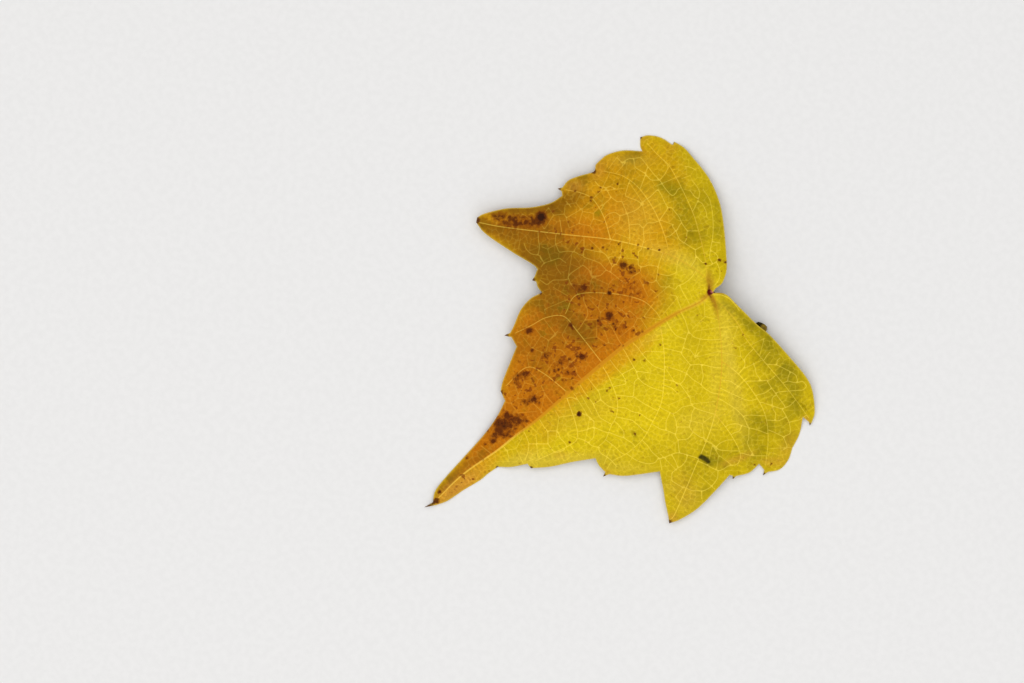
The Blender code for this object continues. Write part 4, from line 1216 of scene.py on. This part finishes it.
class Value:
    """A number in a material, so that Python's operators add Math nodes."""

    def __init__(self, paint, socket):
        self.paint = paint
        self.socket = socket

    def math(self, operation, *others):
        values = dict(enumerate(others))
        node = self.paint.node("ShaderNodeMath", {"operation": operation}, values)
        return Value(self.paint, node.outputs[0])

    def __add__(self, other):
        return self.math("ADD", self, other)

    def __radd__(self, other):
        return self.math("ADD", other, self)

    def __sub__(self, other):
        return self.math("SUBTRACT", self, other)

    def __rsub__(self, other):
        return self.math("SUBTRACT", other, self)

    def __mul__(self, other):
        return self.math("MULTIPLY", self, other)

    def __rmul__(self, other):
        return self.math("MULTIPLY", other, self)

    def sine(self):
        return self.math("SINE", self)

    def up_to(self, other):
        return self.math("MINIMUM", self, other)

    def at_least(self, other):
        return self.math("MAXIMUM", self, other)

    def ramp(self, low, high):
        """0 below low, 1 above high and a smooth step between, or the reverse."""
        node = self.paint.node("ShaderNodeMapRange", {"interpolation_type": "SMOOTHSTEP"},
                               {"Value": self, "From Min": min(low, high),
                                "From Max": max(low, high), "To Min": float(low > high),
                                "To Max": float(low < high)})
        return Value(self.paint, node.outputs["Result"])


# Places of the colour sockets on Blender's Mix node.
FIRST_COLOUR = 6
SECOND_COLOUR = 7
MIXED_COLOUR = 2


class Paint:
    """A material being mixed."""

    def __init__(self, name):
        self.material = bpy.data.materials.new(name)
        self.material.use_nodes = True
        self.tree = self.material.node_tree
        self.shader = self.tree.nodes["Principled BSDF"]
        self.places = self.tree.nodes.new("ShaderNodeTexCoord").outputs["Object"]

    def node(self, kind, settings, values):
        made = self.tree.nodes.new(kind)
        for name, setting in settings.items():
            setattr(made, name, setting)
        for name, value in values.items():
            self.feed(made.inputs[name], value)
        return made

    def feed(self, socket, value):
        if isinstance(value, Value):
            value = value.socket
        if isinstance(value, bpy.types.NodeSocket):
            self.tree.links.new(value, socket)
        else:
            socket.default_value = value

    def stored(self, name):
        node = self.node("ShaderNodeAttribute", {"attribute_name": name}, {})
        return Value(self, node.outputs["Fac"])

    def noise(self, size, detail=2.0, rough=0.5, twist=0.0):
        """Smooth noise whose features are about the given size in millimetres."""
        node = self.node("ShaderNodeTexNoise", {},
                         {"Vector": self.places, "Scale": 1.0 / (size * MM), "Detail": detail,
                          "Roughness": rough, "Distortion": twist})
        return Value(self, node.outputs["Fac"])

    def mix(self, amount, first, second):
        node = self.node("ShaderNodeMix", {"data_type": "RGBA"}, {})
        self.feed(node.inputs["Factor"], amount)
        self.feed(node.inputs[FIRST_COLOUR], first)
        self.feed(node.inputs[SECOND_COLOUR], second)
        return node.outputs[MIXED_COLOUR]

    def shade(self, colour, amount):
        """The colour with its light multiplied by a number."""
        node = self.node("ShaderNodeVectorMath", {"operation": "SCALE"}, {"Scale": amount})
        self.feed(node.inputs[0], colour)
        return node.outputs[0]

    def bump(self, height, distance, strength):
        """Fine relief that only the light follows, its full height given in millimetres."""
        node = self.node("ShaderNodeBump", {}, {"Height": height, "Distance": distance * MM,
                                                "Strength": strength})
        self.feed(self.shader.inputs["Normal"], node.outputs["Normal"])

    def finish(self, colour, roughness, **fixed):
        self.feed(self.shader.inputs["Base Color"], colour)
        self.feed(self.shader.inputs["Roughness"], roughness)
        for name, value in fixed.items():
            self.shader.inputs[name.replace("_", " ")].default_value = value
        return self.material


# Colours of the blade's skin.
YELLOW = srgb(206, 178, 8)
BRIGHT = srgb(226, 198, 12)
GOLD = srgb(214, 154, 6)
# Orange and ochre below are partly the leaf's own colour and partly painted shade where they lie
# on the upper half.
ORANGE = srgb(192, 112, 0)
OCHRE = srgb(138, 90, 0)
OLIVE = srgb(148, 132, 4)
DULL_OLIVE = srgb(112, 92, 0)
DEEP_GREEN = srgb(50, 46, 2)
PALE = srgb(218, 190, 74)
# Pale colour of the veins: partly their own paler colour and partly painted light, as if shone
# through the leaf from behind.
BACKLIT_VEIN = srgb(244, 218, 92)
BROWN = srgb(80, 30, 2)
BLACK_BROWN = srgb(40, 16, 6)
PINK_BROWN = srgb(196, 120, 20)
PINK_TAN = srgb(208, 140, 14)
HAZE = srgb(146, 78, 14)
RUST = srgb(126, 56, 2)
EDGE_RUST = srgb(200, 136, 50)
# Dark red of the pit at the joint: partly its own red and partly painted shade.
RED_PIT_SHADE = srgb(96, 22, 14)
TOOTH_BROWN = srgb(78, 34, 14)
UNDER = srgb(206, 184, 96)


def lamina(paint, cloud, blotch, grain):
    """The blade's colour without its veins: yellow, with gold, orange, ochre and olive parts."""
    tone = paint.stored("cell_tone") * 0.6 + paint.stored("wide_tone") * 0.4 - 0.5
    colour = paint.mix(paint.stored("bright") * (0.7 + 0.6 * cloud), YELLOW, BRIGHT)
    gold = paint.stored("gold") + 0.4 * (cloud - 0.5) + 0.2 * tone
    colour = paint.mix(gold.ramp(0.05, 0.95), colour, GOLD)
    # Orange, and ochre below, are partly the leaf's own colour and partly painted shade on the
    # upper half.
    orange = paint.stored("orange") + 0.3 * (blotch - 0.5)
    colour = paint.mix(orange.ramp(0.05, 0.9), colour, ORANGE)
    ochre = paint.stored("ochre") * 0.9 + 0.45 * (blotch - 0.5) + 0.3 * tone
    colour = paint.mix(ochre.ramp(0.05, 0.95), colour, OCHRE)
    green = paint.stored("green") * 0.8 + 0.55 * (blotch - 0.5) + 0.4 * tone
    green = green + 1.1 * (cloud - 0.5)
    olive = paint.mix(paint.stored("ochre") * 1.3, OLIVE, DULL_OLIVE)
    colour = paint.mix(green.ramp(0.0, 0.9), colour, olive)
    colour = paint.mix(paint.stored("pale") * 0.55, colour, PALE)
    colour = paint.mix(paint.stored("rust") * (0.4 + 0.8 * blotch), colour, EDGE_RUST)
    colour = paint.shade(colour, 1.0 + 0.62 * (grain - 0.5))
    return paint.shade(colour, 1.0 + 0.3 * (blotch - 0.5) + 0.09 * tone)


def veined(paint, colour, cloud, blotch):
    """Lays the net, the veins, the ribs and the thin pale rim over the colour. The veins are
    lightened: partly their own paler colour and partly painted backlight.
    """
    beyond_rib = paint.stored("beyond_rib")
    to_vein = paint.stored("to_vein")
    to_net = paint.stored("to_net")
    from_joint = paint.stored("from_joint")
    strokes = paint.stored("along_rib") * STROKE_RATE + STROKE_STRAY * paint.noise(2.5)
    strokes = strokes.sine() * beyond_rib.ramp(2.8, 0.3) * (paint.noise(3.0) - 0.3)
    colour = paint.shade(colour, 1.0 + 0.3 * strokes)
    between = to_net.up_to(to_vein).up_to(beyond_rib.at_least(0.0)).ramp(0.0, 0.7)
    colour = paint.shade(colour, 1.03 - 0.06 * between)
    net = to_net.ramp(0.13, 0.0) * (0.2 + 0.7 * blotch)
    vein = to_vein.ramp(0.12, 0.0) * (0.35 + 0.8 * cloud)
    vein = vein.at_least(paint.stored("to_traced").ramp(0.14, 0.01) * (0.6 + 0.7 * cloud))
    rib = beyond_rib.ramp(0.08, -0.04) * (0.5 + 0.5 * from_joint.ramp(3.0, 22.0))
    quiet = 1.0 - 0.55 * paint.stored("orange").at_least(paint.stored("ochre"))
    lines = (net * 0.5).at_least(vein * 0.88) * quiet
    main = paint.stored("to_midrib").ramp(1.0, 0.5)
    dull = main * from_joint.ramp(3.0, 12.0) * from_joint.ramp(66.0, 52.0)
    dull = dull.at_least(paint.stored("faint").ramp(0.05, 0.6))
    lines = lines.at_least(rib * (0.82 - 0.57 * dull))
    # Painted backlight over the veins' own paler colour: veins, net and ribs take half the colour
    # made 1.5 times brighter and half the pale vein colour.
    colour = paint.mix(lines, colour, paint.mix(0.5, paint.shade(colour, 1.5), BACKLIT_VEIN))
    rim = paint.stored("to_edge").ramp(0.38, 0.12) * (blotch + 0.25).ramp(0.3, 0.7)
    colour = paint.mix(rim * 0.5, colour, PALE)
    tan = (dull * (0.45 + 0.35 * main)).at_least(from_joint.ramp(24.0, 6.0) * 0.5)
    colour = paint.mix(rib * tan, colour, PINK_TAN)
    core = paint.stored("to_midrib").ramp(0.3, 0.05) * from_joint.ramp(55.0, 10.0)
    return paint.mix(core * 0.5, colour, PINK_BROWN), between, lines


def marked(paint, colour, blotch, grain):
    """Adds the red pit at the joint, partly painted shade, the brown marks and scorched parts, and
    the teeth's tips.
    """
    patch = (paint.stored("patch") + 0.9 * (blotch - 0.5)).ramp(0.05, 1.0)
    colour = paint.mix(patch * (0.6 + 0.6 * blotch), colour, DEEP_GREEN)
    colour = paint.mix(paint.stored("haze") * (0.55 + 0.7 * blotch), colour, HAZE)
    # The pit's dark red is partly the joint's own red and partly painted shade.
    pit = paint.stored("joint") + 0.3 * (grain - 0.5)
    colour = paint.mix(pit.ramp(0.15, 0.8), colour, RED_PIT_SHADE)
    ragged = paint.noise(0.9, 2.0, 0.5, 0.8)
    mark = paint.stored("mark") * 1.15 + 1.5 * (ragged - 0.5)
    scorch = paint.stored("scorch") * 1.15 + 2.0 * (paint.noise(1.1, 3.0, 0.55, 0.5) - 0.54)
    freckle = paint.noise(1.3, 2.0, 0.45, 0.0) + 0.2 * paint.stored("freckle")
    soft = mark.ramp(0.1, 0.6).at_least(scorch.ramp(0.1, 0.7))
    hard = mark.ramp(0.45, 0.85).at_least(scorch.ramp(0.55, 1.1))
    darkest = mark.ramp(1.0, 1.4).at_least(scorch.ramp(1.1, 1.5))
    colour = paint.mix(soft * 0.55, colour, RUST)
    colour = paint.mix(freckle.ramp(0.755, 0.83) * 0.75, colour, RUST)
    colour = paint.mix(hard * 0.85, colour, BROWN)
    colour = paint.mix(darkest * 0.85, colour, BLACK_BROWN)
    bristle = (paint.stored("bristle") + 0.3 * (ragged - 0.5)).ramp(0.1, 0.6)
    return paint.mix(bristle * 0.9, colour, TOOTH_BROWN), soft, bristle


def leaf_skin():
    """The dry skin: tints from yellow to orange and olive, the orange half partly painted shade,
    pale veins partly painted backlight, brown marks, dark tips.
    """
    paint = Paint("leaf_skin")
    cloud = paint.noise(7.0, 3.0)
    blotch = paint.noise(2.2, 4.0, 0.6)
    grain = paint.noise(0.45, 3.0, 0.65)
    colour = lamina(paint, cloud, blotch, grain)
    colour, between, lines = veined(paint, colour, cloud, blotch)
    colour, soft, bristle = marked(paint, colour, blotch, grain)
    under = paint.stored("underside") * (1.0 - bristle)
    colour = paint.mix(under * (0.45 - 0.35 * soft), colour, UNDER)
    colour = paint.mix(under * lines * 1.1, colour, BACKLIT_VEIN)
    paint.bump(between * 0.6 + grain * 0.25 - lines * 0.3, SKIN_BUMP, 0.7)
    return paint.finish(colour, 0.5 + 0.12 * blotch + 0.1 * soft, Specular_IOR_Level=0.07)


# Colours of the petiole's skin and of its cut.
# Pink of a painted highlight on the knob's top.
STALK_PINK = srgb(226, 140, 124)
# Dark red of the stalk at its joint; on the knob's top it is partly painted shade of the pit.
STALK_RED = srgb(92, 20, 12)
STALK_OLIVE = srgb(112, 96, 28)
STALK_DARK = srgb(50, 44, 8)
CUT_WOOD = srgb(178, 146, 46)
CUT_PITH = srgb(120, 88, 44)


def petiole_skin():
    """The stalk's skin: dark red at its joint, partly painted shade, with a painted pink highlight
    beside the notch, olive brown along it, pale wood at the cut.
    """
    paint = Paint("petiole_skin")
    along = paint.stored("along")
    ring = paint.stored("ring")
    streak = paint.noise(0.6, 4.0, 0.6)
    worn = along + 0.2 * (streak - 0.5)
    # Painted pink highlight on the knob's top, over its dark red.
    colour = paint.mix(paint.stored("gleam"), STALK_RED, STALK_PINK)
    colour = paint.mix(worn.ramp(0.15, 0.5), colour, STALK_OLIVE)
    colour = paint.mix(worn.ramp(0.8, 0.9), colour, STALK_DARK)
    end = along.ramp(0.985, 0.995)
    colour = paint.mix(along.ramp(0.95, 0.99) * 0.6, colour, CUT_WOOD)
    colour = paint.mix(end * ring.ramp(0.97, 0.85), colour, CUT_WOOD)
    colour = paint.mix(end * ring.ramp(0.45, 0.3) * 0.5, colour, CUT_PITH)
    colour = paint.shade(colour, 0.8 + 0.4 * streak)
    paint.bump(streak, STALK_BUMP, 0.6)
    return paint.finish(colour, 0.5 + 0.2 * streak, Specular_IOR_Level=0.05)


def paper_floor():
    """The pale surface."""
    paint = Paint("pale_surface")
    fibre = paint.noise(1.6, 3.0)
    colour = paint.mix(fibre.ramp(0.3, 0.7) * 0.5, srgb(238, 237, 236), srgb(232, 231, 230))
    return paint.finish(colour, 0.8 + 0.05 * fibre, Specular_IOR_Level=0.1)


def make_floor():
    deselect_all()
    bpy.ops.mesh.primitive_plane_add(size=FLOOR_SIZE, location=(0.0, 0.0, 0.0))
    floor = bpy.context.active_object
    floor.name = "floor"
    floor.data.materials.append(paper_floor())


def add_light(name, place, size, power):
    """A soft square light that faces the leaf."""
    data = bpy.data.lights.new(name, "AREA")
    data.size = size
    data.energy = power
    light = bpy.data.objects.new(name, data)
    light.location = place
    light.rotation_euler = (-Vector(place)).to_track_quat("-Z", "Y").to_euler()
    bpy.context.scene.collection.objects.link(light)


def make_lights():
    for light in LIGHTS:
        add_light(*light)
    world = bpy.data.worlds.new("room")
    world.use_nodes = True
    background = world.node_tree.nodes["Background"]
    background.inputs["Color"].default_value = (1.0, 1.0, 1.0, 1.0)
    background.inputs["Strength"].default_value = ROOM_LIGHT
    bpy.context.scene.world = world
    bpy.context.scene.view_settings.view_transform = "Standard"


def make_camera():
    """Straight above the middle of the picture, turned as the leaf lies in it."""
    aim = turned(on_sheet(PICTURE_MIDDLE))[0] + SHIFT
    right = turned(np.array([1.0, 0.0]))
    data = bpy.data.cameras.new("camera")
    data.sensor_width = CAMERA_SENSOR
    data.lens = CAMERA_SENSOR * CAMERA_DISTANCE / (PICTURE_WIDTH * SHEET_STEP)
    data.clip_end = CAMERA_FAR * MM
    camera = bpy.data.objects.new("camera", data)
    camera.location = (aim[0] * MM, aim[1] * MM, (CAMERA_DISTANCE + BLADE_LEVEL) * MM)
    camera.rotation_euler = (0.0, 0.0, math.atan2(right[1], right[0]))
    bpy.context.scene.collection.objects.link(camera)
    bpy.context.scene.camera = camera


make_camera()
make_lights()
make_floor()
blade = make_blade()
blade.data.materials.append(leaf_skin())
petiole = make_petiole()
petiole.data.materials.append(petiole_skin())
for piece in (blade, petiole):
    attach(piece, "root")
    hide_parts("leaf")
